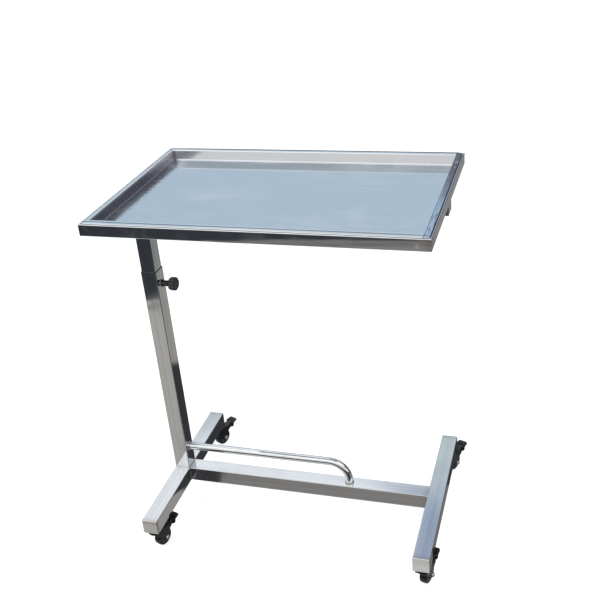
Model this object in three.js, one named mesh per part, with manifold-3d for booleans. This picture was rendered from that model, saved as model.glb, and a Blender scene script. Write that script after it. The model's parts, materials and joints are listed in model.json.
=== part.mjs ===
// Instrument cart: a removable stainless tray in a tubular frame, carried by an arm on a telescopic
// side column, over an H-shaped base on four braked swivel casters.
// Millimetres, +Z up, +X along the tray away from the column, -Y the front. The origin is on the
// floor at the centre of the overall box.
import * as THREE from 'three';
import { mergeVertices } from 'three/addons/utils/BufferGeometryUtils.js';
import Module from 'manifold-3d';

const wasm = await Module();
wasm.setup();

// Fits shared by every piece.
const GAP = 0.3; // air between pieces that touch or are welded together
const SLIDE_CLEARANCE = 0.3; // each side, between the two column tubes
const TURN_CLEARANCE = 0.3; // radial, round a pin that turns
const PIN_CHAMFER = 1;
const MIN_BORE_CORNER = 0.3; // inside corner of a thick-walled tube

// Facets: round a turned piece, round a pin or hole, and round a small one.
const ROUND_FACETS = 20;
const PIN_FACETS = 14;
const SMALL_FACETS = 12;
const ARC_FACETS = 3; // in an arc of an outline
const WELD_DISTANCE = 1e-4; // vertices nearer than this are one

// H-shaped base, square tube.
const TUBE = 38;
const TUBE_WALL = 1.2;
const TUBE_CORNER = 2;
const FOOT_LENGTH = 450;
const FOOT_SPACING = 645; // centre to centre
const CAP_THICKNESS = 2.5;

// Foot rail, a bent round tube from the column down to the crossbeam.
const FOOT_RAIL_DIAMETER = 19;
const FOOT_RAIL_WALL = 1.5;
const FOOT_RAIL_REACH = 432; // column centre to the upright leg's centre
const FOOT_RAIL_BEND = 48; // centre-line radius
const FOOT_RAIL_LEG = 8; // straight foot of the leg, above the crossbeam
const FOOT_RAIL_SIDES = 14;
const FOOT_RAIL_BORE_SIDES = 6;
const FOOT_RAIL_STEPS = 24;

// Telescopic column at the left foot.
const COLUMN_LENGTH = 553;
const INNER_WALL = 1.2;
const INNER_INSERTION = 377; // inner tube inside the outer one
const PLUG_FLANGE = 3;
const PLUG_DEPTH = 14;

// Tray frame, rectangular tube mitred at the corners, and the arm below it.
const FRAME_TOP = 861.5;
const FRAME_LENGTH = 700;
const FRAME_DEPTH = 460;
const FRAME_TUBE_WIDTH = 13;
const FRAME_WALL = 1.2;
const FRAME_CORNER = 1.5;
const ARM_WIDTH = 40;
const ARM_HEIGHT = 20;

// Tray, one pressed sheet.
const TRAY_DEPTH = 23; // rim to floor
const TRAY_SHEET = 1;
const TRAY_BEND = 4; // inside radius round the floor
const RIM_RISE = 2.5; // rim above the frame
const RIM_INSET = 2.5; // rim edge inside the frame's outer face
const RIM_CORNER = 12;
const RIM_FACETS = 3; // half of those round each rim corner
const BEND_FACETS = 3;
const END_CLEARANCE = 2.5; // tray wall to frame tube, at the two ends
const SIDE_CLEARANCE = 7; // tray wall to frame tube, front and back
const FLOOR_CLEARANCE = 3.5; // tray underside above the arm

// Height clamp on the column's inner side.
const CLAMP_DROP = 35; // below the outer column's top
const STUD_DIAMETER = 8;
const TIP_LENGTH = 3;
const BOSS_DIAMETER = 16;
const BOSS_HEIGHT = 5;
const NECK_GAP = 1.7; // boss to knob when clamped
const NECK_DIAMETER = 14;
const NECK_LENGTH = 10;
const FLARE_LENGTH = 5; // neck to the lobed head
const HEAD_DIAMETER = 32;
const HEAD_LENGTH = 16;
const HEAD_LOBES = 7;
const LOBE_DEPTH = 2.4;
const LOBE_POINTS = 6; // outline points in each lobe
const KNOB_EDGE = 1.5;

// Casters, all four alike.
const WHEEL_DIAMETER = 45;
const WHEEL_WIDTH = 18;
const TYRE_DEPTH = 8;
const TYRE_SHOULDER = 3;
const TYRE_FACETS = 28;
const TRAIL = 20; // swivel axis to axle
const CASTER_EDGE = 2; // race in from the foot's end
const CROWN_CLEARANCE = 7; // wheel to the fork's crown
const FORK_SHEET = 2.5;
const FORK_SIDE_CLEARANCE = 2.5; // wheel to each leg
const CROWN_DIAMETER = 36;
const LEG_BACK = 12; // leg's back edge behind the swivel axis
const LEG_SHOULDER = 6; // straight part of that edge, below the crown
const RACE_GAP = 0.5; // fork crown to race
const RACE_HEIGHT = 6.7;
const RACE_CHAMFER = 3;
const KINGPIN_DIAMETER = 10;
const KINGPIN_HEAD_DIAMETER = 16;
const KINGPIN_HEAD_HEIGHT = 3;
const KINGPIN_NUT_FLATS = 17;
const KINGPIN_NUT_HEIGHT = 8;
const THREAD_PROUD = 3; // thread showing past a nut
const AXLE_DIAMETER = 6;
const AXLE_NUT_FLATS = 10;
const AXLE_NUT_HEIGHT = 5;
const AXLE_HEAD_DIAMETER = 11;
const AXLE_HEAD_HEIGHT = 4;
const AXLE_HEAD_EDGE = 1.5;
const LEG_END_RADIUS = 8;
const EAR_RADIUS = 6;
const PEDAL_PIVOT = 36; // swivel axis to the pedal's pivot
const PEDAL_PIN_DIAMETER = 5;
const PEDAL_REACH = 75; // swivel axis to the pedal's tip
const PEDAL_WIDTH = 26;
const PEDAL_NECK_WIDTH = 15; // the tongue, before its pad
const PEDAL_PAD_START = 16; // pivot to the pad
const PEDAL_TIP_RISE = 5; // tip above the pivot
const PEDAL_THICKNESS = 3;
const PEDAL_BARREL_RADIUS = 4;
const PEDAL_SIDE_CLEARANCE = 0.5;
const PEDAL_PIN_PROUD = 1; // pin past the fork's legs
const PEDAL_KNEE = 12; // pivot to the tongue's highest point
const PEDAL_KNEE_RISE = 1;
const PEDAL_HUMP_REACH = 22; // pivot to the tip of the lower, releasing hump
const PEDAL_HUMP_DROP = 7.5;
const PEDAL_HUMP_SLOPE = 2;
const PEDAL_HUMP_LENGTH = 4;
const PEDAL_PRESS = 14; // degrees from free to locked
const SHOE_GAP = 0.6; // brake shoe to tyre when pressed
const SHOE_BEARING = 30; // degrees above level, from the axle, where the shoe meets the tyre
const SHOE_LENGTH = 5;
const SHOE_SLOPE = 2;
// Way each caster trails, in degrees from +X towards +Y.
const CASTER_HEADINGS = { front_left: 75, back_left: 69, front_right: 77, back_right: 67 };

// Heights and sizes that follow from the values above.
const casterHeight = WHEEL_DIAMETER + CROWN_CLEARANCE + FORK_SHEET + RACE_GAP + RACE_HEIGHT + GAP;
const baseTop = casterHeight + TUBE;
const columnTop = baseTop + COLUMN_LENGTH;
const columnFace = TUBE / 2;
const casterInset = TUBE / 2 + CASTER_EDGE;
const innerTube = TUBE - 2 * TUBE_WALL - 2 * SLIDE_CLEARANCE;
const frameHeight = TRAY_DEPTH + TRAY_SHEET + FLOOR_CLEARANCE - RIM_RISE;
const frameBottom = FRAME_TOP - frameHeight;
const armBottom = frameBottom - ARM_HEIGHT;
const innerBottom = columnTop - INNER_INSERTION;
const frameCentre = FRAME_LENGTH / 2 - columnFace;
const clampHeight = columnTop - CLAMP_DROP;
const footRailRise = FOOT_RAIL_BEND + FOOT_RAIL_LEG;

const steel = new THREE.MeshStandardMaterial({ color: 0xc4c8cc, roughness: 0.16, metalness: 1 });
const traySteel = new THREE.MeshStandardMaterial({ color: 0xc3cad1, roughness: 0.22, metalness: 1 });
const brightSteel = new THREE.MeshStandardMaterial({ color: 0xd8dadc, roughness: 0.08, metalness: 1 });
const zincSteel = new THREE.MeshStandardMaterial({ color: 0xaeb0b2, roughness: 0.35, metalness: 1 });
const brass = new THREE.MeshStandardMaterial({ color: 0xb08d4a, roughness: 0.35, metalness: 1 });
const blackPlastic = new THREE.MeshStandardMaterial({ color: 0x17181b, roughness: 0.45, metalness: 0 });
const blackMetal = new THREE.MeshStandardMaterial({ color: 0x141517, roughness: 0.4, metalness: 0.2 });
const greyPlastic = new THREE.MeshStandardMaterial({ color: 0x2b2d30, roughness: 0.5, metalness: 0 });
const tyreRubber = new THREE.MeshStandardMaterial({ color: 0x101113, roughness: 0.7, metalness: 0 });

const cart = new THREE.Group();

function addPiece(name, geometry, material, parent = cart) {
  const piece = new THREE.Mesh(geometry, material);
  piece.name = name;
  parent.add(piece);
  return piece;
}

// Closed mesh to manifold solid, and back.
function solid(geometry) {
  const bare = geometry.clone();
  bare.deleteAttribute('normal');
  bare.deleteAttribute('uv');
  const merged = mergeVertices(bare, WELD_DISTANCE);
  const vertProperties = new Float32Array(merged.attributes.position.array);
  const triVerts = new Uint32Array(merged.index.array);
  return new wasm.Manifold(new wasm.Mesh({ numProp: 3, vertProperties, triVerts }));
}

function geometryOf(manifold) {
  const mesh = manifold.getMesh();
  const geometry = new THREE.BufferGeometry();
  geometry.setAttribute('position', new THREE.BufferAttribute(mesh.vertProperties, 3));
  geometry.setIndex(new THREE.BufferAttribute(mesh.triVerts, 1));
  return geometry;
}

function roundedRectangle(width, height, radius, Kind = THREE.Shape) {
  const x = width / 2;
  const y = height / 2;
  const outline = new Kind();
  outline.moveTo(-x + radius, -y);
  outline.lineTo(x - radius, -y);
  outline.absarc(x - radius, -y + radius, radius, -Math.PI / 2, 0);
  outline.lineTo(x, y - radius);
  outline.absarc(x - radius, y - radius, radius, 0, Math.PI / 2);
  outline.lineTo(-x + radius, y);
  outline.absarc(-x + radius, y - radius, radius, Math.PI / 2, Math.PI);
  outline.lineTo(-x, -y + radius);
  outline.absarc(-x + radius, -y + radius, radius, Math.PI, 1.5 * Math.PI);
  return outline;
}

function rectangle(width, height) {
  const x = width / 2;
  const y = height / 2;
  return new THREE.Shape([[-x, -y], [x, -y], [x, y], [-x, y]].map(([u, v]) => new THREE.Vector2(u, v)));
}

function extrude(shape, depth, curveSegments = 1) {
  return new THREE.ExtrudeGeometry(shape, { depth, bevelEnabled: false, curveSegments });
}

// Rectangular tube standing on z = 0, centred on the Z axis.
function boxTube(width, height, wall, corner, length) {
  const section = roundedRectangle(width, height, corner);
  const boreCorner = Math.max(corner - wall, MIN_BORE_CORNER);
  section.holes.push(roundedRectangle(width - 2 * wall, height - 2 * wall, boreCorner, THREE.Path));
  return extrude(section, length);
}

// Lie a piece that stands on z = 0 along +X, its width still level, or along +Y.
function alongX(geometry) {
  return geometry.rotateZ(Math.PI / 2).rotateY(Math.PI / 2);
}

function alongY(geometry) {
  return geometry.rotateX(-Math.PI / 2);
}

// Cylinder on the Z axis from z = low to z = high.
function pin(diameter, low, high, facets = PIN_FACETS) {
  const cylinder = new THREE.CylinderGeometry(diameter / 2, diameter / 2, high - low, facets);
  return cylinder.rotateX(Math.PI / 2).translate(0, 0, (low + high) / 2);
}

// Closed solid of revolution about Z from [radius, z] corners.
function turned(corners, facets = ROUND_FACETS) {
  const profile = corners.map(([radius, z]) => new THREE.Vector2(radius, z));
  profile.push(profile[0].clone());
  return new THREE.LatheGeometry(profile, facets).rotateX(Math.PI / 2);
}

// Regular polygon with a corner on +X.
function polygon(radius, sides, Kind = THREE.Shape) {
  const outline = new Kind();
  for (let side = 0; side < sides; side += 1) {
    const angle = (2 * Math.PI * side) / sides;
    outline[side ? 'lineTo' : 'moveTo'](radius * Math.cos(angle), radius * Math.sin(angle));
  }
  outline.closePath();
  return outline;
}

function hexNut(flats, height, boreDiameter) {
  const outline = polygon(flats / Math.sqrt(3), 6);
  outline.holes.push(polygon(boreDiameter / 2, SMALL_FACETS, THREE.Path));
  return extrude(outline, height);
}

// ---------------------------------------------------------------- base

function makeFoot(name, x) {
  const length = FOOT_LENGTH - 2 * (CAP_THICKNESS + GAP);
  const tube = alongY(boxTube(TUBE, TUBE, TUBE_WALL, TUBE_CORNER, length)).translate(0, -length / 2, 0);
  const holeDiameter = KINGPIN_DIAMETER + 2 * TURN_CLEARANCE;
  let foot = solid(tube);
  for (const end of [-1, 1]) {
    const hole = pin(holeDiameter, -TUBE, 0).translate(0, end * (FOOT_LENGTH / 2 - casterInset), 0);
    foot = foot.subtract(solid(hole));
  }
  addPiece(name, geometryOf(foot), steel).position.set(x, 0, casterHeight + TUBE / 2);
}

function makeFootCap(name, x, end) {
  const cap = alongY(extrude(roundedRectangle(TUBE, TUBE, TUBE_CORNER), CAP_THICKNESS));
  const y = end > 0 ? FOOT_LENGTH / 2 - CAP_THICKNESS : -FOOT_LENGTH / 2;
  addPiece(name, cap, steel).position.set(x, y, casterHeight + TUBE / 2);
}

function makeCrossbeam() {
  const length = FOOT_SPACING - TUBE - 2 * GAP;
  const beam = alongX(boxTube(TUBE, TUBE, TUBE_WALL, TUBE_CORNER, length));
  addPiece('crossbeam', beam, steel).position.set(columnFace + GAP, 0, casterHeight + TUBE / 2);
}

// Centre line of the foot rail: level run, quarter bend, short upright leg.
class FootRailLine extends THREE.Curve {
  constructor() {
    super();
    this.start = columnFace + GAP;
    this.run = FOOT_RAIL_REACH - FOOT_RAIL_BEND - this.start;
    this.arc = (FOOT_RAIL_BEND * Math.PI) / 2;
    this.leg = FOOT_RAIL_LEG - GAP;
  }

  getPoint(t, target = new THREE.Vector3()) {
    const distance = t * (this.run + this.arc + this.leg);
    const level = baseTop + footRailRise;
    if (distance <= this.run) {
      return target.set(this.start + distance, 0, level);
    }
    if (distance <= this.run + this.arc) {
      const angle = (distance - this.run) / FOOT_RAIL_BEND;
      const x = this.start + this.run + FOOT_RAIL_BEND * Math.sin(angle);
      return target.set(x, 0, level - FOOT_RAIL_BEND * (1 - Math.cos(angle)));
    }
    const below = distance - this.run - this.arc;
    return target.set(FOOT_RAIL_REACH, 0, level - FOOT_RAIL_BEND - below);
  }
}

function makeFootRail() {
  const section = polygon(FOOT_RAIL_DIAMETER / 2, FOOT_RAIL_SIDES);
  const boreRadius = FOOT_RAIL_DIAMETER / 2 - FOOT_RAIL_WALL;
  section.holes.push(polygon(boreRadius, FOOT_RAIL_BORE_SIDES, THREE.Path));
  const rail = new THREE.ExtrudeGeometry(section, { steps: FOOT_RAIL_STEPS, extrudePath: new FootRailLine() });
  addPiece('foot_rail', rail, brightSteel);
}

// -------------------------------------------------------------- column

function makeOuterColumn() {
  const tube = solid(boxTube(TUBE, TUBE, TUBE_WALL, TUBE_CORNER, COLUMN_LENGTH - GAP));
  const hole = pin(STUD_DIAMETER + 2 * TURN_CLEARANCE, 0, TUBE).rotateY(Math.PI / 2);
  hole.translate(0, 0, clampHeight - baseTop - GAP);
  addPiece('outer_column', geometryOf(tube.subtract(solid(hole))), steel).position.z = baseTop + GAP;
}

function makeInnerColumn() {
  const length = armBottom - GAP - innerBottom;
  const tube = boxTube(innerTube, innerTube, INNER_WALL, TUBE_CORNER, length);
  addPiece('inner_column', tube, steel).position.z = innerBottom;
}

// Plastic plug that closes the inner tube's lower end and guides it in the outer one.
function makeInnerPlug() {
  const bore = innerTube - 2 * INNER_WALL - 2 * GAP;
  const flange = solid(extrude(roundedRectangle(innerTube, innerTube, TUBE_CORNER), PLUG_FLANGE));
  const shank = extrude(roundedRectangle(bore, bore, TUBE_CORNER), PLUG_FLANGE + PLUG_DEPTH);
  const plug = addPiece('inner_column_plug', geometryOf(flange.add(solid(shank))), blackPlastic);
  plug.position.z = innerBottom - GAP - PLUG_FLANGE;
}

// --------------------------------------------------------- height clamp

// The clamp's pieces are turned about Z and laid along +X from the column's axis.
function addClampPiece(name, geometry, material) {
  addPiece(name, geometry.rotateY(Math.PI / 2), material).position.z = clampHeight;
}

function makeClamp() {
  const tipStart = innerTube / 2 + GAP;
  const studStart = tipStart + TIP_LENGTH + GAP;
  const bossStart = columnFace + GAP;
  const neckStart = bossStart + BOSS_HEIGHT + NECK_GAP;
  const studEnd = neckStart + NECK_LENGTH;
  const boreRadius = STUD_DIAMETER / 2 + TURN_CLEARANCE;
  addClampPiece('clamp_tip', pin(STUD_DIAMETER, tipStart, tipStart + TIP_LENGTH), brass);
  addClampPiece('clamp_stud', pin(STUD_DIAMETER, studStart, studEnd), brightSteel);
  const bossProfile = [
    [boreRadius, bossStart],
    [BOSS_DIAMETER / 2, bossStart],
    [BOSS_DIAMETER / 2, bossStart + BOSS_HEIGHT - PIN_CHAMFER],
    [BOSS_DIAMETER / 2 - PIN_CHAMFER, bossStart + BOSS_HEIGHT],
    [boreRadius, bossStart + BOSS_HEIGHT],
  ];
  addClampPiece('clamp_boss', turned(bossProfile), steel);
  addClampPiece('clamp_knob', geometryOf(knobSolid(neckStart, studEnd)), blackPlastic);
}

// Star knob: round neck with a blind bore for the stud, flared into a lobed head.
function knobSolid(neckStart, studEnd) {
  const flareStart = neckStart + NECK_LENGTH;
  const headStart = flareStart + FLARE_LENGTH;
  const root = HEAD_DIAMETER / 2 - LOBE_DEPTH;
  const neck = NECK_DIAMETER / 2;
  const profile = [[0, neckStart], [neck, neckStart], [neck, flareStart], [root, headStart],
    [root, headStart + 2 * KNOB_EDGE], [0, headStart + 2 * KNOB_EDGE]];
  const bevel = { bevelThickness: KNOB_EDGE, bevelSize: KNOB_EDGE, bevelSegments: 1, curveSegments: 1 };
  const depth = HEAD_LENGTH - 2 * KNOB_EDGE;
  const head = new THREE.ExtrudeGeometry(lobedOutline(), { depth, ...bevel });
  head.translate(0, 0, headStart + KNOB_EDGE);
  const bore = solid(pin(STUD_DIAMETER + 2 * GAP, neckStart - GAP, studEnd + GAP));
  return solid(turned(profile)).add(solid(head)).subtract(bore);
}

// The knob's head before its edges are bevelled outwards.
function lobedOutline() {
  const count = HEAD_LOBES * LOBE_POINTS;
  const points = [];
  for (let index = 0; index < count; index += 1) {
    const angle = (2 * Math.PI * index) / count;
    const wave = (1 + Math.cos(HEAD_LOBES * angle)) / 2;
    const radius = HEAD_DIAMETER / 2 - KNOB_EDGE - LOBE_DEPTH * (1 - Math.sqrt(wave));
    points.push(new THREE.Vector2(radius * Math.cos(angle), radius * Math.sin(angle)));
  }
  return new THREE.Shape(points);
}

// ------------------------------------------------------ frame and tray

// Rail along X with its outer face at y = 0 and 45-degree ends, standing on z = 0.
function mitredRail(length) {
  const tube = alongX(boxTube(FRAME_TUBE_WIDTH, frameHeight, FRAME_WALL, FRAME_CORNER, length));
  tube.translate(-length / 2, FRAME_TUBE_WIDTH / 2, frameHeight / 2);
  const outer = length / 2 - GAP / Math.SQRT2;
  const inner = outer - FRAME_TUBE_WIDTH;
  const corners = [[-outer, 0], [outer, 0], [inner, FRAME_TUBE_WIDTH], [-inner, FRAME_TUBE_WIDTH]];
  const plan = new THREE.Shape(corners.map(([x, y]) => new THREE.Vector2(x, y)));
  return geometryOf(solid(tube).intersect(solid(extrude(plan, frameHeight))));
}

function makeFrame() {
  const rails = [
    ['frame_rail_front', FRAME_LENGTH, 0, -FRAME_DEPTH / 2, 0],
    ['frame_rail_right', FRAME_DEPTH, FRAME_LENGTH / 2, 0, Math.PI / 2],
    ['frame_rail_back', FRAME_LENGTH, 0, FRAME_DEPTH / 2, Math.PI],
    ['frame_rail_left', FRAME_DEPTH, -FRAME_LENGTH / 2, 0, -Math.PI / 2],
  ];
  for (const [name, length, x, y, turn] of rails) {
    const rail = addPiece(name, mitredRail(length), steel);
    rail.position.set(frameCentre + x, y, frameBottom);
    rail.rotation.z = turn;
  }
}

function makeArm() {
  const length = FRAME_LENGTH - 2 * (CAP_THICKNESS + GAP);
  const height = ARM_HEIGHT - GAP;
  const level = armBottom + height / 2;
  const tube = alongX(boxTube(ARM_WIDTH, height, FRAME_WALL, FRAME_CORNER, length));
  addPiece('support_arm', tube, steel).position.set(frameCentre - length / 2, 0, level);
  const ends = { left: -FRAME_LENGTH / 2, right: FRAME_LENGTH / 2 - CAP_THICKNESS };
  for (const [side, x] of Object.entries(ends)) {
    const cap = alongX(extrude(roundedRectangle(ARM_WIDTH, height, FRAME_CORNER), CAP_THICKNESS));
    addPiece(`arm_end_cap_${side}`, cap, steel).position.set(frameCentre + x, 0, level);
  }
}

// Block with its bottom edges rounded, from z = 0 up to at least the given height.
function roundBottomBlock(length, depth, radius, height) {
  const bevel = { bevelThickness: radius, bevelSize: radius, bevelSegments: BEND_FACETS };
  const shape = rectangle(length - 2 * radius, depth - 2 * radius);
  return new THREE.ExtrudeGeometry(shape, { depth: height, ...bevel }).translate(0, 0, radius);
}

function makeTray() {
  const rimLength = FRAME_LENGTH - 2 * RIM_INSET;
  const rimDepth = FRAME_DEPTH - 2 * RIM_INSET;
  const panLength = FRAME_LENGTH - 2 * (FRAME_TUBE_WIDTH + END_CLEARANCE + TRAY_SHEET);
  const panDepth = FRAME_DEPTH - 2 * (FRAME_TUBE_WIDTH + SIDE_CLEARANCE + TRAY_SHEET);
  const height = TRAY_DEPTH + TRAY_SHEET;
  const lipBottom = height - RIM_RISE + GAP;

  const shell = solid(roundBottomBlock(panLength + 2 * TRAY_SHEET, panDepth + 2 * TRAY_SHEET,
    TRAY_BEND + TRAY_SHEET, height)).intersect(solid(extrude(rectangle(rimLength, rimDepth), height)));
  const rim = extrude(roundedRectangle(rimLength, rimDepth, RIM_CORNER), TRAY_SHEET, RIM_FACETS)
    .translate(0, 0, TRAY_DEPTH);
  const lipOutline = roundedRectangle(rimLength, rimDepth, RIM_CORNER);
  lipOutline.holes.push(roundedRectangle(rimLength - 2 * TRAY_SHEET, rimDepth - 2 * TRAY_SHEET,
    RIM_CORNER - TRAY_SHEET, THREE.Path));
  const lip = extrude(lipOutline, height - lipBottom, RIM_FACETS).translate(0, 0, lipBottom);
  const hollow = roundBottomBlock(panLength, panDepth, TRAY_BEND, height).translate(0, 0, TRAY_SHEET);

  const tray = shell.add(solid(rim)).add(solid(lip)).subtract(solid(hollow));
  const level = frameBottom + FLOOR_CLEARANCE;
  addPiece('tray', geometryOf(tray), traySteel).position.set(frameCentre, 0, level);
}

// -------------------------------------------------------------- casters

// A caster is built at its swivel axis with the wheel trailing along +X.
const axleHeight = WHEEL_DIAMETER / 2;
const crownBottom = WHEEL_DIAMETER + CROWN_CLEARANCE;
const crownTop = crownBottom + FORK_SHEET;
const legInside = WHEEL_WIDTH / 2 + FORK_SIDE_CLEARANCE;
const legOutside = legInside + FORK_SHEET;
const pivotHeight = crownBottom - EAR_RADIUS;

function makeKingpin(name, caster) {
  const headTop = crownBottom - GAP;
  const nutBottom = casterHeight + TUBE_WALL + GAP;
  const top = nutBottom + KINGPIN_NUT_HEIGHT + THREAD_PROUD;
  const radius = KINGPIN_DIAMETER / 2;
  const headRadius = KINGPIN_HEAD_DIAMETER / 2;
  const headBottom = headTop - KINGPIN_HEAD_HEIGHT;
  const pinProfile = [[0, headBottom], [headRadius, headBottom], [headRadius, headTop], [radius, headTop],
    [radius, top - PIN_CHAMFER], [radius - PIN_CHAMFER, top], [0, top]];
  addPiece(`${name}_kingpin`, turned(pinProfile, PIN_FACETS), zincSteel, caster);
  const nut = hexNut(KINGPIN_NUT_FLATS, KINGPIN_NUT_HEIGHT, KINGPIN_DIAMETER + 2 * TURN_CLEARANCE);
  addPiece(`${name}_kingpin_nut`, nut, zincSteel, caster).position.z = nutBottom;
}

function makeRace(name, caster) {
  const bottom = crownTop + RACE_GAP;
  const top = bottom + RACE_HEIGHT;
  const bore = KINGPIN_DIAMETER / 2 + TURN_CLEARANCE;
  const profile = [[bore, bottom], [TUBE / 2 - RACE_CHAMFER, bottom], [TUBE / 2, bottom + RACE_CHAMFER],
    [TUBE / 2, top], [bore, top]];
  addPiece(`${name}_race`, turned(profile), blackMetal, caster);
}

// Leg outline in X and Z: straight down from the crown to the axle, with an ear for the pedal's pin.
function legOutline() {
  const outline = new THREE.Shape();
  outline.moveTo(-LEG_BACK, crownTop);
  outline.lineTo(-LEG_BACK, crownBottom - LEG_SHOULDER);
  outline.lineTo(TRAIL - LEG_END_RADIUS, axleHeight);
  outline.absarc(TRAIL, axleHeight, LEG_END_RADIUS, Math.PI, 2 * Math.PI);
  outline.lineTo(PEDAL_PIVOT - EAR_RADIUS / 2, pivotHeight - EAR_RADIUS);
  outline.absarc(PEDAL_PIVOT, pivotHeight, EAR_RADIUS, -Math.PI / 2, Math.PI / 2);
  outline.lineTo(PEDAL_PIVOT - EAR_RADIUS, crownTop);
  return outline;
}

// Outline in X and Z, extruded across Y between the two given places.
function acrossY(outline, low, high) {
  return extrude(outline, high - low, ARC_FACETS).rotateX(Math.PI / 2).translate(0, high, 0);
}

function crossPin(diameter, x, z, halfLength) {
  return pin(diameter, -halfLength, halfLength, SMALL_FACETS).rotateX(Math.PI / 2).translate(x, 0, z);
}

function makeFork(name, caster) {
  const plateLength = PEDAL_PIVOT - EAR_RADIUS - PEDAL_BARREL_RADIUS + LEG_BACK;
  const plate = extrude(rectangle(plateLength, 2 * legOutside), FORK_SHEET)
    .translate(plateLength / 2 - LEG_BACK, 0, crownBottom);
  let fork = solid(pin(CROWN_DIAMETER, crownBottom, crownTop, ROUND_FACETS)).add(solid(plate));
  fork = fork.add(solid(acrossY(legOutline(), legInside, legOutside)));
  fork = fork.add(solid(acrossY(legOutline(), -legOutside, -legInside)));
  const bores = [
    pin(KINGPIN_DIAMETER + 2 * TURN_CLEARANCE, 0, casterHeight),
    crossPin(AXLE_DIAMETER + 2 * TURN_CLEARANCE, TRAIL, axleHeight, TUBE),
    crossPin(PEDAL_PIN_DIAMETER + 2 * TURN_CLEARANCE, PEDAL_PIVOT, pivotHeight, TUBE),
  ];
  for (const bore of bores) {
    fork = fork.subtract(solid(bore));
  }
  addPiece(`${name}_fork`, geometryOf(fork), blackMetal, caster);
}

function makeWheel(name, caster) {
  const outer = WHEEL_DIAMETER / 2;
  const seat = outer - TYRE_DEPTH;
  const half = WHEEL_WIDTH / 2;
  const bore = AXLE_DIAMETER / 2 + TURN_CLEARANCE;
  const tyre = turned([[seat, -half], [outer - TYRE_SHOULDER, -half], [outer, -half + TYRE_SHOULDER],
    [outer, half - TYRE_SHOULDER], [outer - TYRE_SHOULDER, half], [seat, half]], TYRE_FACETS);
  const hub = turned([[bore, -half], [seat - GAP, -half], [seat - GAP, half], [bore, half]]);
  for (const [part, geometry, material] of [['tyre', tyre, tyreRubber], ['hub', hub, greyPlastic]]) {
    const piece = addPiece(`${name}_${part}`, geometry.rotateX(Math.PI / 2), material, caster);
    piece.position.set(TRAIL, 0, axleHeight);
  }
}

function makeAxle(name, caster) {
  const seat = legOutside + GAP;
  const head = AXLE_HEAD_DIAMETER / 2;
  const radius = AXLE_DIAMETER / 2;
  const start = -seat - AXLE_HEAD_HEIGHT;
  const end = seat + AXLE_NUT_HEIGHT + THREAD_PROUD / 2;
  const profile = [[0, start], [head - AXLE_HEAD_EDGE, start], [head, start + AXLE_HEAD_EDGE], [head, -seat],
    [radius, -seat], [radius, end], [0, end]];
  const bolt = turned(profile, SMALL_FACETS).rotateX(-Math.PI / 2);
  addPiece(`${name}_axle`, bolt, zincSteel, caster).position.set(TRAIL, 0, axleHeight);
  const nut = hexNut(AXLE_NUT_FLATS, AXLE_NUT_HEIGHT, AXLE_DIAMETER + 2 * TURN_CLEARANCE);
  nut.rotateX(-Math.PI / 2);
  addPiece(`${name}_axle_nut`, nut, zincSteel, caster).position.set(TRAIL, seat, axleHeight);
}

// The shoe's tip when the pedal is free: where it meets the tyre, turned back about the pivot.
function shoeTip() {
  const reach = WHEEL_DIAMETER / 2 + SHOE_GAP;
  const bearing = THREE.MathUtils.degToRad(SHOE_BEARING);
  const pivot = new THREE.Vector2(PEDAL_PIVOT, pivotHeight);
  const pressed = new THREE.Vector2(TRAIL + reach * Math.cos(bearing), axleHeight + reach * Math.sin(bearing));
  return pressed.rotateAround(pivot, THREE.MathUtils.degToRad(PEDAL_PRESS));
}

// Brake lever: a long upper tongue to lock, a short lower hump to release, and a shoe above the tyre.
function pedalOutline() {
  const shoe = shoeTip();
  const barrelTop = pivotHeight + PEDAL_BARREL_RADIUS;
  const barrelBottom = pivotHeight - PEDAL_BARREL_RADIUS;
  const halfSheet = PEDAL_THICKNESS / 2;
  const hump = PEDAL_PIVOT + PEDAL_HUMP_REACH;
  const humpTop = pivotHeight - PEDAL_HUMP_DROP;
  const tipHeight = pivotHeight + PEDAL_TIP_RISE;
  const corners = [
    [PEDAL_PIVOT, barrelTop],
    [PEDAL_PIVOT + PEDAL_KNEE, barrelTop + PEDAL_KNEE_RISE],
    [PEDAL_REACH - halfSheet, tipHeight + halfSheet],
    [PEDAL_REACH, tipHeight],
    [PEDAL_REACH - halfSheet, tipHeight - halfSheet],
    [hump - PEDAL_HUMP_SLOPE, (pivotHeight + tipHeight) / 2 - halfSheet],
    [hump, humpTop],
    [hump - PEDAL_HUMP_LENGTH, humpTop - PEDAL_HUMP_SLOPE],
    [shoe.x + SHOE_LENGTH, shoe.y],
    [shoe.x, shoe.y],
    [shoe.x - SHOE_SLOPE, (shoe.y + barrelBottom) / 2],
    [PEDAL_PIVOT, barrelBottom],
  ];
  const outline = new THREE.Shape(corners.map(([x, z]) => new THREE.Vector2(x, z)));
  outline.absarc(PEDAL_PIVOT, pivotHeight, PEDAL_BARREL_RADIUS, -Math.PI / 2, Math.PI / 2, true);
  return outline;
}

function makePedal(name, caster) {
  const neckStart = PEDAL_PIVOT + EAR_RADIUS;
  const padStart = PEDAL_PIVOT + PEDAL_PAD_START;
  const slice = (width, from, to) => {
    const block = extrude(rectangle(to - from, width), casterHeight).translate((from + to) / 2, 0, 0);
    return solid(acrossY(pedalOutline(), -width / 2, width / 2)).intersect(solid(block));
  };
  const inFork = slice(2 * (legInside - PEDAL_SIDE_CLEARANCE), 0, neckStart);
  const neck = slice(PEDAL_NECK_WIDTH, 0, PEDAL_REACH);
  const pad = slice(PEDAL_WIDTH, padStart, PEDAL_REACH);
  const pivotPin = solid(crossPin(PEDAL_PIN_DIAMETER, PEDAL_PIVOT, pivotHeight, legOutside + PEDAL_PIN_PROUD));
  addPiece(`${name}_pedal`, geometryOf(inFork.add(neck).add(pad).add(pivotPin)), blackPlastic, caster);
}

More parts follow.
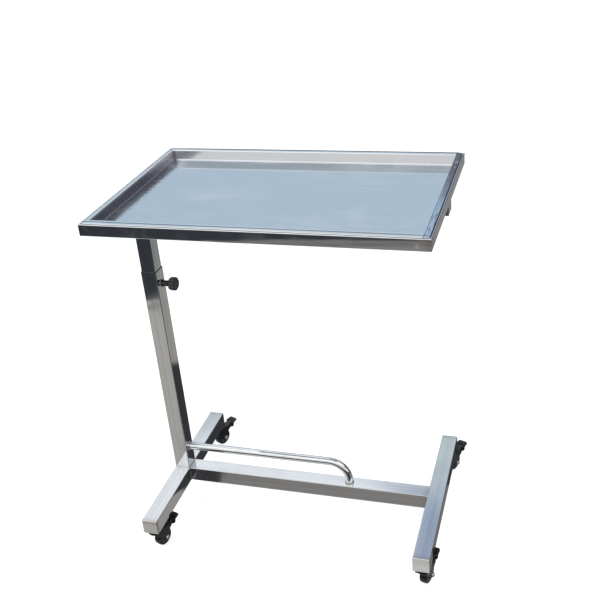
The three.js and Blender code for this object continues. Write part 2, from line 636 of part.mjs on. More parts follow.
function makeCaster(corner, heading) {
  const caster = new THREE.Group();
  const [depthWise, lengthWise] = corner.split('_');
  caster.position.x = lengthWise === 'left' ? 0 : FOOT_SPACING;
  caster.position.y = (depthWise === 'front' ? -1 : 1) * (FOOT_LENGTH / 2 - casterInset);
  caster.rotation.z = THREE.MathUtils.degToRad(heading);
  const name = `caster_${corner}`;
  makeKingpin(name, caster);
  makeRace(name, caster);
  makeFork(name, caster);
  makeWheel(name, caster);
  makeAxle(name, caster);
  makePedal(name, caster);
  cart.add(caster);
}

// ------------------------------------------------------------- assembly

for (const [side, x] of [['left', 0], ['right', FOOT_SPACING]]) {
  makeFoot(`foot_${side}`, x);
  makeFootCap(`foot_cap_front_${side}`, x, -1);
  makeFootCap(`foot_cap_back_${side}`, x, 1);
}
makeCrossbeam();
makeFootRail();
makeOuterColumn();
makeInnerColumn();
makeInnerPlug();
makeClamp();
makeArm();
makeFrame();
makeTray();
for (const [corner, heading] of Object.entries(CASTER_HEADINGS)) {
  makeCaster(corner, heading);
}

// Everything above is placed from the column's axis; move it over the origin.
const extent = new THREE.Box3().setFromObject(cart, true);
const centre = extent.getCenter(new THREE.Vector3());
cart.position.set(-centre.x, -centre.y, -extent.min.z);
cart.updateMatrixWorld(true);

export default cart;
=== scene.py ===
import json
import math

import bmesh
import bpy
from mathutils import Matrix, Vector


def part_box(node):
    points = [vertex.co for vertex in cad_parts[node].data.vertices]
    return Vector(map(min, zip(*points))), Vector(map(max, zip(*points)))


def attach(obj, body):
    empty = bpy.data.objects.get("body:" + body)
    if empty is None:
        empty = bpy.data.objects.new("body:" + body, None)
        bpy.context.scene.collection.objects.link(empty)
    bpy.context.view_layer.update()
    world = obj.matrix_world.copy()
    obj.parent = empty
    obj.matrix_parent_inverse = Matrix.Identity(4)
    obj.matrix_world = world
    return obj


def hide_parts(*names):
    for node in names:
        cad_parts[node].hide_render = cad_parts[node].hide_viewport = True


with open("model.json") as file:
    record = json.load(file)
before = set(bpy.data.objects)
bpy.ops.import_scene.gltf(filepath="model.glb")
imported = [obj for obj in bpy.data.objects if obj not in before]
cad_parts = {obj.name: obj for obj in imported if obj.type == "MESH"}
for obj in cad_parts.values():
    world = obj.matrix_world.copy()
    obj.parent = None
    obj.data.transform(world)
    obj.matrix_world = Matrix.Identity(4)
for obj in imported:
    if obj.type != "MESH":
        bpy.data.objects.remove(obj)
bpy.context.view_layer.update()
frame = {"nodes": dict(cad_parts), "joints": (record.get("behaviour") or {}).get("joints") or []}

# ---------------------------------------------------------------- camera
# A person's view of the cart: from in front of its free end, a little over
# head height for the tray, looking down on it with the camera tipped slightly.
CAMERA_PLACE = Vector((0.5851, -1.7030, 1.527))
CAMERA_TURN = math.radians(18.05)
CAMERA_DIP = math.radians(27.67)
CAMERA_TIP = math.radians(-5.04)
CAMERA_LENS = 54.45
CAMERA_SHIFT = (-0.016, -0.0023)
CAMERA_REACH = 60


def camera_axes(turn, dip, tip):
    """Right, up and backward axes of a camera turned left of +Y, dipped and tipped."""
    ahead = Vector((-math.sin(turn) * math.cos(dip), math.cos(turn) * math.cos(dip), -math.sin(dip)))
    right = Vector((math.cos(turn), math.sin(turn), 0))
    up = right.cross(ahead)
    tipped_right = math.cos(tip) * right + math.sin(tip) * up
    tipped_up = math.cos(tip) * up - math.sin(tip) * right
    return Matrix((tipped_right, tipped_up, -ahead)).transposed()


camera = bpy.data.objects.new("camera", bpy.data.cameras.new("camera"))
camera.data.lens = CAMERA_LENS
camera.data.shift_x, camera.data.shift_y = CAMERA_SHIFT
camera.data.clip_end = CAMERA_REACH
camera_turned = camera_axes(CAMERA_TURN, CAMERA_DIP, CAMERA_TIP).to_4x4()
camera.matrix_world = Matrix.Translation(CAMERA_PLACE) @ camera_turned
bpy.context.scene.collection.objects.link(camera)
bpy.context.scene.camera = camera

# ---------------------------------------------------------------- studio
# A pale floor that runs on to the backdrop, soft lamps high on the left, and
# surroundings for the steel to mirror: a pale cool roof over a darker room.
FLOOR_SIZE = 40
FLOOR_COLOUR = (0.96, 0.96, 0.96, 1)
FLOOR_PATCHES = (0.98, 0.98, 0.98, 1)
FLOOR_SHARE = 0.40
FLOOR_GLOW = 0.80
LAMP_SIZE = 2.4
LAMP_AIM = Vector((0, 0, 0.4))
BACKDROP_COLOUR = (1, 1, 1, 1)
ROOF_HAZE = (0.66, 0.74, 0.82, 1)
ROOF_LOW = (0.50, 0.625, 0.745, 1)
ROOF_LOW_GREY = (0.56, 0.64, 0.69, 1)
ROOF_RIGHT = (0.34, 0.41, 0.54, 1)
ROOF_LEFT = (0.90, 0.94, 0.98, 1)
ROOF_STRIP = (1.1, 1.12, 1.14, 1)
ROOF_FRONT = (0.92, 0.91, 0.90, 1)
ROOF_FRONT_SHADE = (0.46, 0.53, 0.57, 1)
ROOF_BEHIND = (0.13, 0.15, 0.19, 1)
ROOF_BEHIND_WARM = (0.22, 0.19, 0.185, 1)
HORIZON_DARK = (0.07, 0.072, 0.08, 1)
ROOM_DARK = (0.036, 0.041, 0.048, 1)
ROOM_GREY = (0.235, 0.225, 0.215, 1)
ROOM_LIGHT = (0.43, 0.415, 0.39, 1)
ROOM_NEAR = (0.68, 0.67, 0.65, 1)
ROOM_WARM = (0.33, 0.315, 0.295, 1)
ROOM_COOL = (0.165, 0.165, 0.17, 1)
ROOM_BEHIND = (0.245, 0.245, 0.25, 1)
ROOM_SHADE = (0.040, 0.041, 0.045, 1)
# Where one shade of the surroundings runs into the next, as the start and end of
# the step in a direction's X, Y or Z. Up is +Z, and the front is -Y.
ROOF_AND_ROOM = (-0.03, 0.05)
FRONT_AND_BACK = (-0.15, 0.15)
LEFT_OVERHEAD = (0.19, 0.27)
LOW_ROOF_GREYS = (0.50, 0.56)
OVERHEAD_EDGE = (0.658, 0.703)
OVERHEAD_SLOPE = 0.28
STRIP_FOOT = (0.455, 0.475)
STRIP_HEAD = (0.535, 0.550)
STRIP_END = (-0.42, -0.30)
HAZE_TOP = (0.25, 0.285)
HORIZON_TOP = (0.17, 0.21)
WOODS_SIDE = (0.02, 0.09)
WOODS_TOP = (0.52, 0.62)
WOODS_WARMTH = (0.47, 0.62)
FRONT_HAZE_TOP = (0.300, 0.320)
FRONT_STRIP = (0.44, 0.50)
ROOM_EDGE = 0.4475
ROOM_EDGE_SLOPE = 0.0345
ROOM_EDGE_DROP = 0.0445
ROOM_EDGE_DROP_SIDE = (-0.424, -0.385)
ROOM_EDGE_WAVE = 0.0025
ROOM_EDGE_BLUR = 0.0012
FOOT_SIDE = 0.377
LIGHT_ROOM_SIDE = (0.376, 0.384)
NEAR_ROOM = (0.665, 0.685)
UNDER_FOOT_START = (-0.376, -0.374)
UNDER_FOOT_END = (-0.349, -0.347)
UNDER_FOOT_TOP = (0.575, 0.585)
DARK_FRONT_SIDE = (0.12, 0.18)
EDGE_LINE_FOOT = (-0.0095, -0.0085)
EDGE_LINE_HEAD = (-0.0055, -0.0045)
SHADE_FOOT = (-0.6455, -0.6425)
SHADE_HEAD = (-0.512, -0.505)
SHADE_SLOPE = 0.06
WARM_ROOM_SIDE = (0.15, 0.27)
BACK_WALL_FOOT = (-0.43, -0.40)
BACK_WALL_HEAD = (-0.28, -0.22)


class Graded:
    """A value that changes over a surface. Arithmetic on it adds Math nodes."""

    def __init__(self, tree, socket):
        self.tree = tree
        self.socket = socket

    def _math(self, operation, first, second):
        math_node = self.tree.nodes.new("ShaderNodeMath")
        math_node.operation = operation
        for target, value in zip(math_node.inputs, (first, second)):
            if isinstance(value, Graded):
                self.tree.links.new(value.socket, target)
            else:
                target.default_value = value
        return Graded(self.tree, math_node.outputs[0])

    def __add__(self, other):
        return self._math("ADD", self, other)

    def __radd__(self, other):
        return self._math("ADD", other, self)

    def __sub__(self, other):
        return self._math("SUBTRACT", self, other)

    def __rsub__(self, other):
        return self._math("SUBTRACT", other, self)

    def __mul__(self, other):
        return self._math("MULTIPLY", self, other)

    def __rmul__(self, other):
        return self._math("MULTIPLY", other, self)

    def __abs__(self):
        return self._math("ABSOLUTE", self, 0)


class Shader:
    """The node tree of a material or of the surroundings."""

    def __init__(self, owner):
        owner.use_nodes = True
        self.owner = owner
        self.tree = owner.node_tree
        self.tree.nodes.clear()

    def node(self, kind, settings=None, sockets=None, output=0):
        """Adds a node: its settings first, then its sockets' values or links."""
        made = self.tree.nodes.new("ShaderNode" + kind)
        for name, value in (settings or {}).items():
            if name == "stops":
                while len(made.color_ramp.elements) < len(value):
                    made.color_ramp.elements.new(0.5)
                for stop, (position, colour) in zip(made.color_ramp.elements, value):
                    stop.position = position
                    stop.color = colour
            else:
                setattr(made, name, value)
        for name, value in (sockets or {}).items():
            if isinstance(value, Graded):
                self.tree.links.new(value.socket, made.inputs[name])
            else:
                made.inputs[name].default_value = value
        return Graded(self.tree, made.outputs[output]) if made.outputs else None

    def split(self, vector):
        """The X, Y and Z of a vector."""
        return [self.node("SeparateXYZ", sockets={"Vector": vector}, output=axis) for axis in "XYZ"]

    def between(self, value, low, high):
        """0 below low, 1 above high, and a smooth step from one to the other."""
        limits = {"Value": value, "From Min": low, "From Max": high}
        return self.node("MapRange", {"interpolation_type": "SMOOTHSTEP"}, limits)

    def band(self, value, rise, fall):
        """1 between the two steps rise and fall, and 0 outside them."""
        return self.between(value, *rise) - self.between(value, *fall)

    def blend(self, share, first, second):
        """Colour that goes from first to second as share goes from 0 to 1."""
        colours = {"Factor": share, 6: first, 7: second}
        return self.node("Mix", {"data_type": "RGBA"}, colours, output=2)


def roof_mirrored(shader, direction, clouds, patches):
    """Roof over a hazy horizon: lighter on the left, dark woods behind, open at the front."""
    x, y, z = direction
    overhead = shader.blend(shader.between(0.10 * clouds - x, *LEFT_OVERHEAD), ROOF_RIGHT, ROOF_LEFT)
    low = shader.blend(shader.between(z, *LOW_ROOF_GREYS), ROOF_LOW, ROOF_LOW_GREY)
    roof = shader.blend(shader.between(z - OVERHEAD_SLOPE * x, *OVERHEAD_EDGE), low, overhead)
    strip = shader.band(z, STRIP_FOOT, STRIP_HEAD) * shader.between(x, *STRIP_END)
    roof = shader.blend(strip, roof, ROOF_STRIP)
    roof = shader.blend(shader.between(z, *HAZE_TOP), ROOF_HAZE, roof)
    roof = shader.blend(shader.between(z, *HORIZON_TOP), HORIZON_DARK, roof)
    ragged = 0.10 * patches
    wooded = shader.between(x + ragged, *WOODS_SIDE) - shader.between(z + ragged, *WOODS_TOP)
    woods = shader.blend(shader.between(patches, *WOODS_WARMTH), ROOF_BEHIND, ROOF_BEHIND_WARM)
    roof = shader.blend(shader.between(wooded, 0.1, 0.9), roof, woods)
    open_front = shader.blend(shader.between(z, *FRONT_HAZE_TOP), ROOF_FRONT, ROOF_FRONT_SHADE)
    open_front = shader.blend(shader.between(z, *FRONT_STRIP), open_front, ROOF_STRIP)
    return shader.blend(shader.between(y, *FRONT_AND_BACK), open_front, roof)


def front_mirrored(shader, direction, patches):
    """Front of the room: a pale ground that ends in a sharp sloping edge against the dark."""
    x, y, z = direction
    drop = ROOM_EDGE_DROP * shader.between(x, *ROOM_EDGE_DROP_SIDE)
    above = z + ROOM_EDGE + ROOM_EDGE_SLOPE * (x + FOOT_SIDE) - drop
    above = above + ROOM_EDGE_WAVE * (patches - 0.5)
    ground = shader.blend(shader.between(0 - x, *LIGHT_ROOM_SIDE), ROOM_GREY, ROOM_LIGHT)
    ground = shader.blend(shader.between(0 - z, *NEAR_ROOM), ground, ROOM_NEAR)
    under_foot = shader.band(x, UNDER_FOOT_START, UNDER_FOOT_END)
    ground = shader.blend(under_foot * shader.between(0 - z, *UNDER_FOOT_TOP), ground, ROOM_SHADE)
    ground = shader.blend(shader.between(x, *DARK_FRONT_SIDE), ground, ROOM_SHADE)
    line = shader.band(above, EDGE_LINE_FOOT, EDGE_LINE_HEAD)
    ground = shader.blend(0.5 * line, ground, ROOM_DARK)
    return shader.blend(shader.between(above, -ROOM_EDGE_BLUR, ROOM_EDGE_BLUR), ground, ROOM_DARK)


def back_mirrored(shader, direction):
    """Back of the room: grey, warmer on the right, with a shaded stretch low down."""
    x, y, z = direction
    shade = shader.between(z - SHADE_SLOPE * x, *SHADE_FOOT) - shader.between(z, *SHADE_HEAD)
    back = shader.blend(shader.between(x, *WARM_ROOM_SIDE), ROOM_COOL, ROOM_WARM)
    back = shader.blend(shader.between(z, *BACK_WALL_FOOT), back, ROOM_BEHIND)
    back = shader.blend(shade, back, ROOM_SHADE)
    return shader.blend(shader.between(z, *BACK_WALL_HEAD), back, HORIZON_DARK)


def surround_with_room():
    """Surroundings that the steel mirrors; the camera itself sees the pale backdrop."""
    world = bpy.data.worlds.new("studio")
    bpy.context.scene.world = world
    shader = Shader(world)
    generated = shader.node("TexCoord", output="Generated")
    direction = shader.split(generated)
    cloudy = {"Vector": generated, "Scale": 2.2, "Detail": 3.0, "Roughness": 0.5}
    patchy = {"Vector": generated, "Scale": 9.0, "Detail": 4.0, "Roughness": 0.6}
    clouds = shader.node("TexNoise", sockets=cloudy)
    patches = shader.node("TexNoise", sockets=patchy)
    roof = roof_mirrored(shader, direction, clouds, patches)
    front = front_mirrored(shader, direction, patches)
    back = back_mirrored(shader, direction)
    room = shader.blend(shader.between(direction[1], *FRONT_AND_BACK), front, back)
    around = shader.blend(shader.between(direction[2], *ROOF_AND_ROOM), room, roof)
    seen = shader.node("LightPath", output="Is Camera Ray")
    lit = shader.node("Background", sockets={"Color": around, "Strength": 1.0})
    plain = shader.node("Background", sockets={"Color": BACKDROP_COLOUR, "Strength": 1.0})
    mixed = shader.node("MixShader", sockets={0: seen, 1: lit, 2: plain})
    shader.node("OutputWorld", sockets={"Surface": mixed})


class Finish(Shader):
    """A material for one piece or for like pieces."""

    def __init__(self, name):
        super().__init__(bpy.data.materials.new(name))
        self.place = self.node("TexCoord", output="Object")

    def noise(self, per_metre, detail=3.0, roughness=0.5):
        """Soft noise with so many patches to a metre along X, Y and Z."""
        stretched = self.node("VectorMath", {"operation": "MULTIPLY"}, {0: self.place, 1: per_metre})
        return self.node("TexNoise", sockets={"Vector": stretched, "Scale": 1.0, "Detail": detail,
                                              "Roughness": roughness})

    def relief(self, height, depth, below=None):
        """Bumps as deep as depth, in metres, on top of those given as below."""
        sockets = {"Strength": 1.0, "Distance": depth, "Height": height}
        if below is not None:
            sockets["Normal"] = below
        return self.node("Bump", sockets=sockets, output="Normal")

    def surface(self, sockets):
        """Ends the material with its shader."""
        shader = self.node("BsdfPrincipled", sockets=sockets)
        self.node("OutputMaterial", sockets={"Surface": shader})
        return self.owner


def floor_finish():
    finish = Finish("studio_floor")
    specks = finish.noise((3, 3, 3), detail=4.0)
    shade = finish.blend(finish.between(specks, 0.3, 0.7), FLOOR_COLOUR, FLOOR_PATCHES)
    lit = finish.blend(FLOOR_SHARE, (0, 0, 0, 1), shade)
    return finish.surface({"Base Color": lit, "Roughness": 0.9, "Emission Color": shade,
                           "Emission Strength": FLOOR_GLOW})


def lay_floor():
    """A sheet that the camera sees and light falls on. The steel mirrors the room instead."""
    half = FLOOR_SIZE / 2
    corners = [(-half, -half, 0), (half, -half, 0), (half, half, 0), (-half, half, 0)]
    mesh = bpy.data.meshes.new("studio_floor")
    mesh.from_pydata(corners, [], [(0, 1, 2, 3)])
    mesh.materials.append(floor_finish())
    floor = bpy.data.objects.new("studio_floor", mesh)
    floor.visible_glossy = False
    bpy.context.scene.collection.objects.link(floor)


def hang_lamp(name, place, watts):
    lamp = bpy.data.lights.new(name, "AREA")
    lamp.shape = "DISK"
    lamp.size = LAMP_SIZE
    lamp.energy = watts
    light = bpy.data.objects.new(name, lamp)
    light.location = place
    light.rotation_euler = (LAMP_AIM - place).to_track_quat("-Z", "Y").to_euler()
    light.visible_glossy = False
    bpy.context.scene.collection.objects.link(light)


bpy.context.scene.view_settings.view_transform = "Standard"
surround_with_room()
lay_floor()
hang_lamp("lamp_over_left", Vector((-2.2, -1.2, 3.2)), 60)
hang_lamp("lamp_over_right", Vector((2.0, 1.0, 3.4)), 40)

# ---------------------------------------------------------------- base
# Two feet and a crossbeam of thin-walled square tube, mirror-polished
# stainless steel, butt-welded into an H. Each foot's ends are closed by a
# plate welded on and ground flush.
TUBE_WALL = 0.0012
TUBE_CORNER = 0.002
CUT_EDGE = 0.0003
STEEL_COLOUR = (0.84, 0.85, 0.865, 1)
STEEL_CLOUDED = (0.76, 0.775, 0.79, 1)
STEEL_STREAKED = (0.62, 0.635, 0.65, 1)
HEAT_COLOUR = (0.62, 0.565, 0.49, 1)
SEAM_COLOUR = (0.16, 0.155, 0.15, 1)
# Near-black painted shade for the outer column's cut top edge.
TOP_EDGE_SHADE_COLOUR = (0.035, 0.035, 0.038, 1)
WELD_RADIUS = 0.0011
WELD_STEP = 0.0013
WELD_SIDES = 8
WELD_SUNK = 2.3
WELD_FLUSH = 2 * WELD_RADIUS - 0.0003
PLATE_EDGE = 0.0008
SHARP_ANGLE = 32
ALONG = {"X": 0, "Y": 1, "Z": 2}


def loft(mesh, rings, closed=False):
    """Skin from ring to ring. Closed joins the last ring to the first; if not, both ends are
    filled."""
    rows = [[mesh.verts.new(point) for point in ring] for ring in rings]
    pairs = list(zip(rows, rows[1:]))
    if closed:
        pairs.append((rows[-1], rows[0]))
    for near, far in pairs:
        for one in range(len(near)):
            two = (one + 1) % len(near)
            mesh.faces.new((near[one], near[two], far[two], far[one]))
    if not closed:
        mesh.faces.new(rows[0][::-1])
        mesh.faces.new(rows[-1])


def rounded_outline(width, height, corner, steps=5):
    """(across, up) points round a rectangle with rounded corners."""
    points = []
    for side, rise, start in ((1, 1, 0), (-1, 1, 90), (-1, -1, 180), (1, -1, 270)):
        for step in range(steps + 1):
            angle = math.radians(start + 90 * step / steps)
            across = side * (width / 2 - corner) + corner * math.cos(angle)
            points.append((across, rise * (height / 2 - corner) + corner * math.sin(angle)))
    return points


def lying(axis, centre):
    """Turns (across, up, along) into a place in the frame for a piece that lies along X, Y or Z."""
    order = {"X": (2, 0, 1), "Y": (0, 2, 1), "Z": (0, 1, 2)}[axis]
    return lambda across, up, along: centre + Vector([(across, up, along)[k] for k in order])


def middle_and_size(node):
    low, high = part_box(node)
    return (low + high) / 2, high - low


def across_sizes(axis, size):
    """Width and height of a box seen along the axis."""
    return {"X": (size.y, size.z), "Y": (size.x, size.z), "Z": (size.x, size.y)}[axis]


def skin_tube(mesh, axis, node, wall, corner, mitre=None):
    """Rectangular tube in the node's box. mitre(across, up) is how much shorter it is there
    at each end."""
    centre, size = middle_and_size(node)
    width, height = across_sizes(axis, size)
    end = size[ALONG[axis]] / 2
    place = lying(axis, centre)
    rings = []
    section = ((0, CUT_EDGE - end), (0, end - CUT_EDGE), (CUT_EDGE, end), (wall, end), (wall, -end),
               (CUT_EDGE, -end))
    for inset, along in section:
        outline = rounded_outline(width - 2 * inset, height - 2 * inset, max(corner - inset, CUT_EDGE))
        ring = []
        for across, up in outline:
            trim = mitre(across, up) if mitre else 0
            ring.append(place(across, up, along - math.copysign(trim, along)))
        rings.append(ring)
    loft(mesh, rings, closed=True)


def skin_plate(mesh, axis, node, corner):
    """Flat plate in the node's box with its edges rounded over."""
    centre, size = middle_and_size(node)
    width, height = across_sizes(axis, size)
    end = size[ALONG[axis]] / 2
    place = lying(axis, centre)
    rings = []
    for inset, along in ((PLATE_EDGE, -end), (0, PLATE_EDGE - end), (0, end - PLATE_EDGE), (PLATE_EDGE, end)):
        outline = rounded_outline(width - 2 * inset, height - 2 * inset, corner - inset)
        rings.append([place(across, up, along) for across, up in outline])
    loft(mesh, rings)


def evenly(points, spacing):
    """The same closed path with points this far apart."""
    path = []
    for start, end in zip(points, points[1:] + points[:1]):
        count = max(1, round((end - start).length / spacing))
        path += [start.lerp(end, step / count) for step in range(count)]
    return path


def skin_bead(mesh, path, normal, radius):
    """Closed weld bead along a path in the plane across normal, rippled as it was laid."""
    rings = []
    for index, point in enumerate(path):
        tangent = (path[(index + 1) % len(path)] - path[index - 1]).normalized()
        side = tangent.cross(normal)
        swell = radius * (1 + 0.10 * math.sin(1.9 * index))
        turns = [2 * math.pi * k / WELD_SIDES for k in range(WELD_SIDES)]
        rings.append([point + swell * (math.cos(turn) * normal + math.sin(turn) * side) for turn in turns])
    loft(mesh, rings, closed=True)


def seam(mesh, axis, centre, width, height, corner=TUBE_CORNER):
    """Weld bead round a rectangle across the axis."""
    place = lying(axis, centre)
    outline = rounded_outline(width, height, corner)
    path = evenly([place(across, up, 0) for across, up in outline], WELD_STEP)
    normal = place(0, 0, 1) - place(0, 0, 0)
    skin_bead(mesh, path, normal, WELD_RADIUS)


def keep_faces_flat(data):
    """Shades wide flat faces flat: each corner's normal leans to the larger faces on its side
    of the sharp edges."""
    edge_of = {edge.key: edge.index for edge in data.edges}
    sharp = [edge.use_edge_sharp for edge in data.edges]
    around = {}
    for face in data.polygons:
        for loop in face.loop_indices:
            around.setdefault(data.loops[loop].vertex_index, []).append((face, loop))
    normals = [None] * len(data.loops)
    for corner, ends in around.items():
        edges = {}
        for face, loop in ends:
            edges[face.index] = {edge_of[key] for key in face.edge_keys if corner in key}
        left = dict((face.index, (face, loop)) for face, loop in ends)
        while left:
            group = [left.pop(next(iter(left)))]
            for face, loop in group:
                soft = {edge for edge in edges[face.index] if not sharp[edge]}
                for other in [index for index in left if soft & edges[index]]:
                    group.append(left.pop(other))
            normal = sum((face.area * face.normal for face, loop in group), Vector())
            for face, loop in group:
                normals[loop] = normal.normalized() if normal.length else face.normal
    data.normals_split_custom_set(normals)


def add_piece(name, mesh, material, body, stands_for=()):
    """Finishes a mesh as a piece that rides a body in place of CAD nodes."""
    bmesh.ops.remove_doubles(mesh, verts=mesh.verts, dist=1e-7)
    bmesh.ops.recalc_face_normals(mesh, faces=mesh.faces)
    data = bpy.data.meshes.new(name)
    mesh.to_mesh(data)
    mesh.free()
    data.shade_smooth()
    data.set_sharp_from_angle(angle=math.radians(SHARP_ANGLE))
    keep_faces_flat(data)
    data.materials.append(material)
    piece = bpy.data.objects.new(name, data)
    bpy.context.scene.collection.objects.link(piece)
    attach(piece, body)
    if stands_for:
        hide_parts(*stands_for)


def heated(finish, colour, welds, reach, share):
    """Straw heat colour round welds, given as (axis, place) pairs."""
    places = finish.split(finish.place)
    for axis, weld in welds:
        near = 1 - finish.between(abs(places[ALONG[axis]] - weld), *reach)
        colour = finish.blend(near * share, colour, HEAT_COLOUR)
    return colour


def polished_steel(name, axis, welds=(), clouding=1.0, roughness=0.022, painted_shade_above=None,
                   waviness=0.00012):
    """Mirror-polished tube: buffing lines along it, clouded patches, faces not quite flat, heat colour near
    its welds, given as (axis, place) pairs, and near-black painted shade over its cut top edge in place of
    that edge's highlight."""
    finish = Finish(name)
    fine = [1500.0, 1500.0, 1500.0]
    fine[ALONG[axis]] = 9.0
    slow = [26.0, 26.0, 26.0]
    slow[ALONG[axis]] = 3.5
    buffing = finish.noise(fine, detail=2.0)
    streaks = finish.noise([value / 9 for value in fine], detail=3.0)
    clouds = finish.between(finish.noise((11, 11, 11), detail=5.0, roughness=0.6), 0.46, 0.74)
    dust = finish.between(finish.noise((420, 420, 420), detail=2.0), 0.70, 0.78)
    colour = finish.blend(clouds * clouding, STEEL_COLOUR, STEEL_CLOUDED)
    colour = finish.blend(finish.between(streaks, 0.42, 0.66) * 0.40, colour, STEEL_STREAKED)
    colour = heated(finish, colour, welds, (0.002, 0.016), 0.35 + 0.5 * clouds)
    places = finish.split(finish.place)
    for weld in [place for weld_axis, place in welds if weld_axis == axis]:
        seam_line = 1 - finish.between(abs(places[ALONG[axis]] - weld), 0.0006, 0.0013)
        colour = finish.blend(seam_line * 0.6, colour, SEAM_COLOUR)
    rough = roughness + 0.015 * streaks + 0.05 * clouding * clouds + 0.25 * dust
    if painted_shade_above is not None:
        # Painted shade: the cut top edge is painted near-black so it shows no highlight.
        top_edge_shade = finish.between(places[2], painted_shade_above, painted_shade_above + 0.0004)
        colour = finish.blend(top_edge_shade * 0.95, colour, TOP_EDGE_SHADE_COLOUR)
        rough = rough + 0.3 * top_edge_shade
    bumps = finish.relief(finish.noise(slow, detail=2.0), waviness)
    bumps = finish.relief(buffing, 0.0000022, below=bumps)
    return finish.surface({"Base Color": colour, "Metallic": 1.0, "Roughness": rough, "Normal": bumps})


def weld_finish():
    """Weld bead, brushed bright but still rippled, with straw colour in the hollows."""
    finish = Finish("weld_bead")
    ripples = finish.noise((300, 300, 300), detail=3.0)
    bright = finish.between(ripples, 0.35, 0.65)
    straw = finish.blend(bright, (0.50, 0.46, 0.41, 1), (0.80, 0.80, 0.80, 1))
    bumps = finish.relief(ripples, 0.0004)
    return finish.surface({"Base Color": straw, "Metallic": 1.0, "Roughness": 0.16 + 0.2 * ripples,
                           "Normal": bumps})


def add_tube(node, axis, wall, corner, steel, body, mitre=None):
    """Tube in place of a CAD node of the same name."""
    mesh = bmesh.new()
    skin_tube(mesh, axis, node, wall, corner, mitre)
    add_piece(f"{node}_tube", mesh, steel, body, [node])


def add_plate(node, axis, corner, steel, body):
    """End plate in place of a CAD node of the same name."""
    mesh = bmesh.new()
    skin_plate(mesh, axis, node, corner)
    add_piece(f"{node}_plate", mesh, steel, body, [node])


def add_weld(name, body, *seams, corner=TUBE_CORNER):
    """Weld beads round rectangles, each given as (axis, centre, width, height)."""
    mesh = bmesh.new()
    for axis, centre, width, height in seams:
        seam(mesh, axis, centre, width, height, corner)
    add_piece(name, mesh, weld_bead, body)


def both_ends(axis, node):
    """The (axis, place) pairs of the welds at a tube's two ends."""
    low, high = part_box(node)
    return [(axis, low[ALONG[axis]]), (axis, high[ALONG[axis]])]


weld_bead = weld_finish()
for side in ("left", "right"):
    foot = f"foot_{side}"
    foot_steel = polished_steel(f"{foot}_steel", "Y", welds=both_ends("Y", foot))
    add_tube(foot, "Y", TUBE_WALL, TUBE_CORNER, foot_steel, "base")
    for end, inward in (("front", 1), ("back", -1)):
        cap = f"foot_cap_{end}_{side}"
        cap_middle, cap_size = middle_and_size(cap)
        top_edge = [("Z", cap_middle.z + cap_size.z / 2)]
        cap_steel = polished_steel(f"{cap}_steel", "X", welds=top_edge, clouding=1.4, roughness=0.14)
        add_plate(cap, "Y", TUBE_CORNER, cap_steel, "base")
        cap_joint = cap_middle + Vector((0, inward * cap_size.y / 2, 0))
        add_weld(f"{cap}_weld", "base",
                 ("Y", cap_joint, cap_size.x - WELD_SUNK * WELD_RADIUS, cap_size.z - WELD_FLUSH))

beam_middle, beam_size = middle_and_size("crossbeam")
beam_steel = polished_steel("crossbeam_steel", "X", welds=both_ends("X", "crossbeam"))
add_tube("crossbeam", "X", TUBE_WALL, TUBE_CORNER, beam_steel, "base")
beam_seams = []
for end in (-1, 1):
    beam_joint = beam_middle + Vector((end * beam_size.x / 2, 0, 0))
    beam_seams.append(("X", beam_joint, beam_size.y + 0.0004, beam_size.z - 2 * WELD_RADIUS + 0.0005))
add_weld("crossbeam_welds", "base", *beam_seams)

# ---------------------------------------------------------------- foot rail
# One length of round tube, bent once on a former and polished bright. It is
# welded to the column's side and to the top of the crossbeam.
RAIL_WALL = 0.0015
RAIL_BEND = 0.048
RAIL_SIDES = 40
RAIL_BEND_STEPS = 28
RAIL_WELD_RADIUS = 0.0017
RAIL_WELD_OUT = 0.0006
BRIGHT_COLOUR = (0.88, 0.885, 0.89, 1)


def rail_path():
    """Points and directions of the rail's centre line: level, round the bend, then down."""
    low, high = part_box("foot_rail")
    radius = (high.y - low.y) / 2
    middle_y = (high.y + low.y) / 2
    level = high.z - radius
    turn_x = high.x - radius - RAIL_BEND
    points = [(Vector((low.x, middle_y, level)), 0.0), (Vector((turn_x, middle_y, level)), 0.0)]
    for step in range(1, RAIL_BEND_STEPS + 1):
        angle = math.pi / 2 * step / RAIL_BEND_STEPS
        ahead = RAIL_BEND * math.sin(angle)
        drop = RAIL_BEND * (1 - math.cos(angle))
        points.append((Vector((turn_x + ahead, middle_y, level - drop)), angle))
    points.append((Vector((high.x - radius, middle_y, low.z)), math.pi / 2))
    return points, radius


def circle_points(centre, first, second, radius, sides):
    turns = [2 * math.pi * k / sides for k in range(sides)]
    return [centre + radius * (math.cos(turn) * first + math.sin(turn) * second) for turn in turns]


def bright_steel(name, welds=()):
    """Bright drawn steel with a few polishing rings and faint clouds."""
    finish = Finish(name)
    clouds = finish.between(finish.noise((24, 24, 24), detail=4.0), 0.5, 0.8)
    fine = finish.noise((14, 900, 900), detail=2.0)
    colour = finish.blend(clouds, BRIGHT_COLOUR, STEEL_CLOUDED)
    colour = heated(finish, colour, welds, (0.001, 0.010), 0.6)
    bumps = finish.relief(fine, 0.000002)
    return finish.surface({"Base Color": colour, "Metallic": 1.0, "Roughness": 0.035 + 0.05 * clouds,
                           "Normal": bumps})


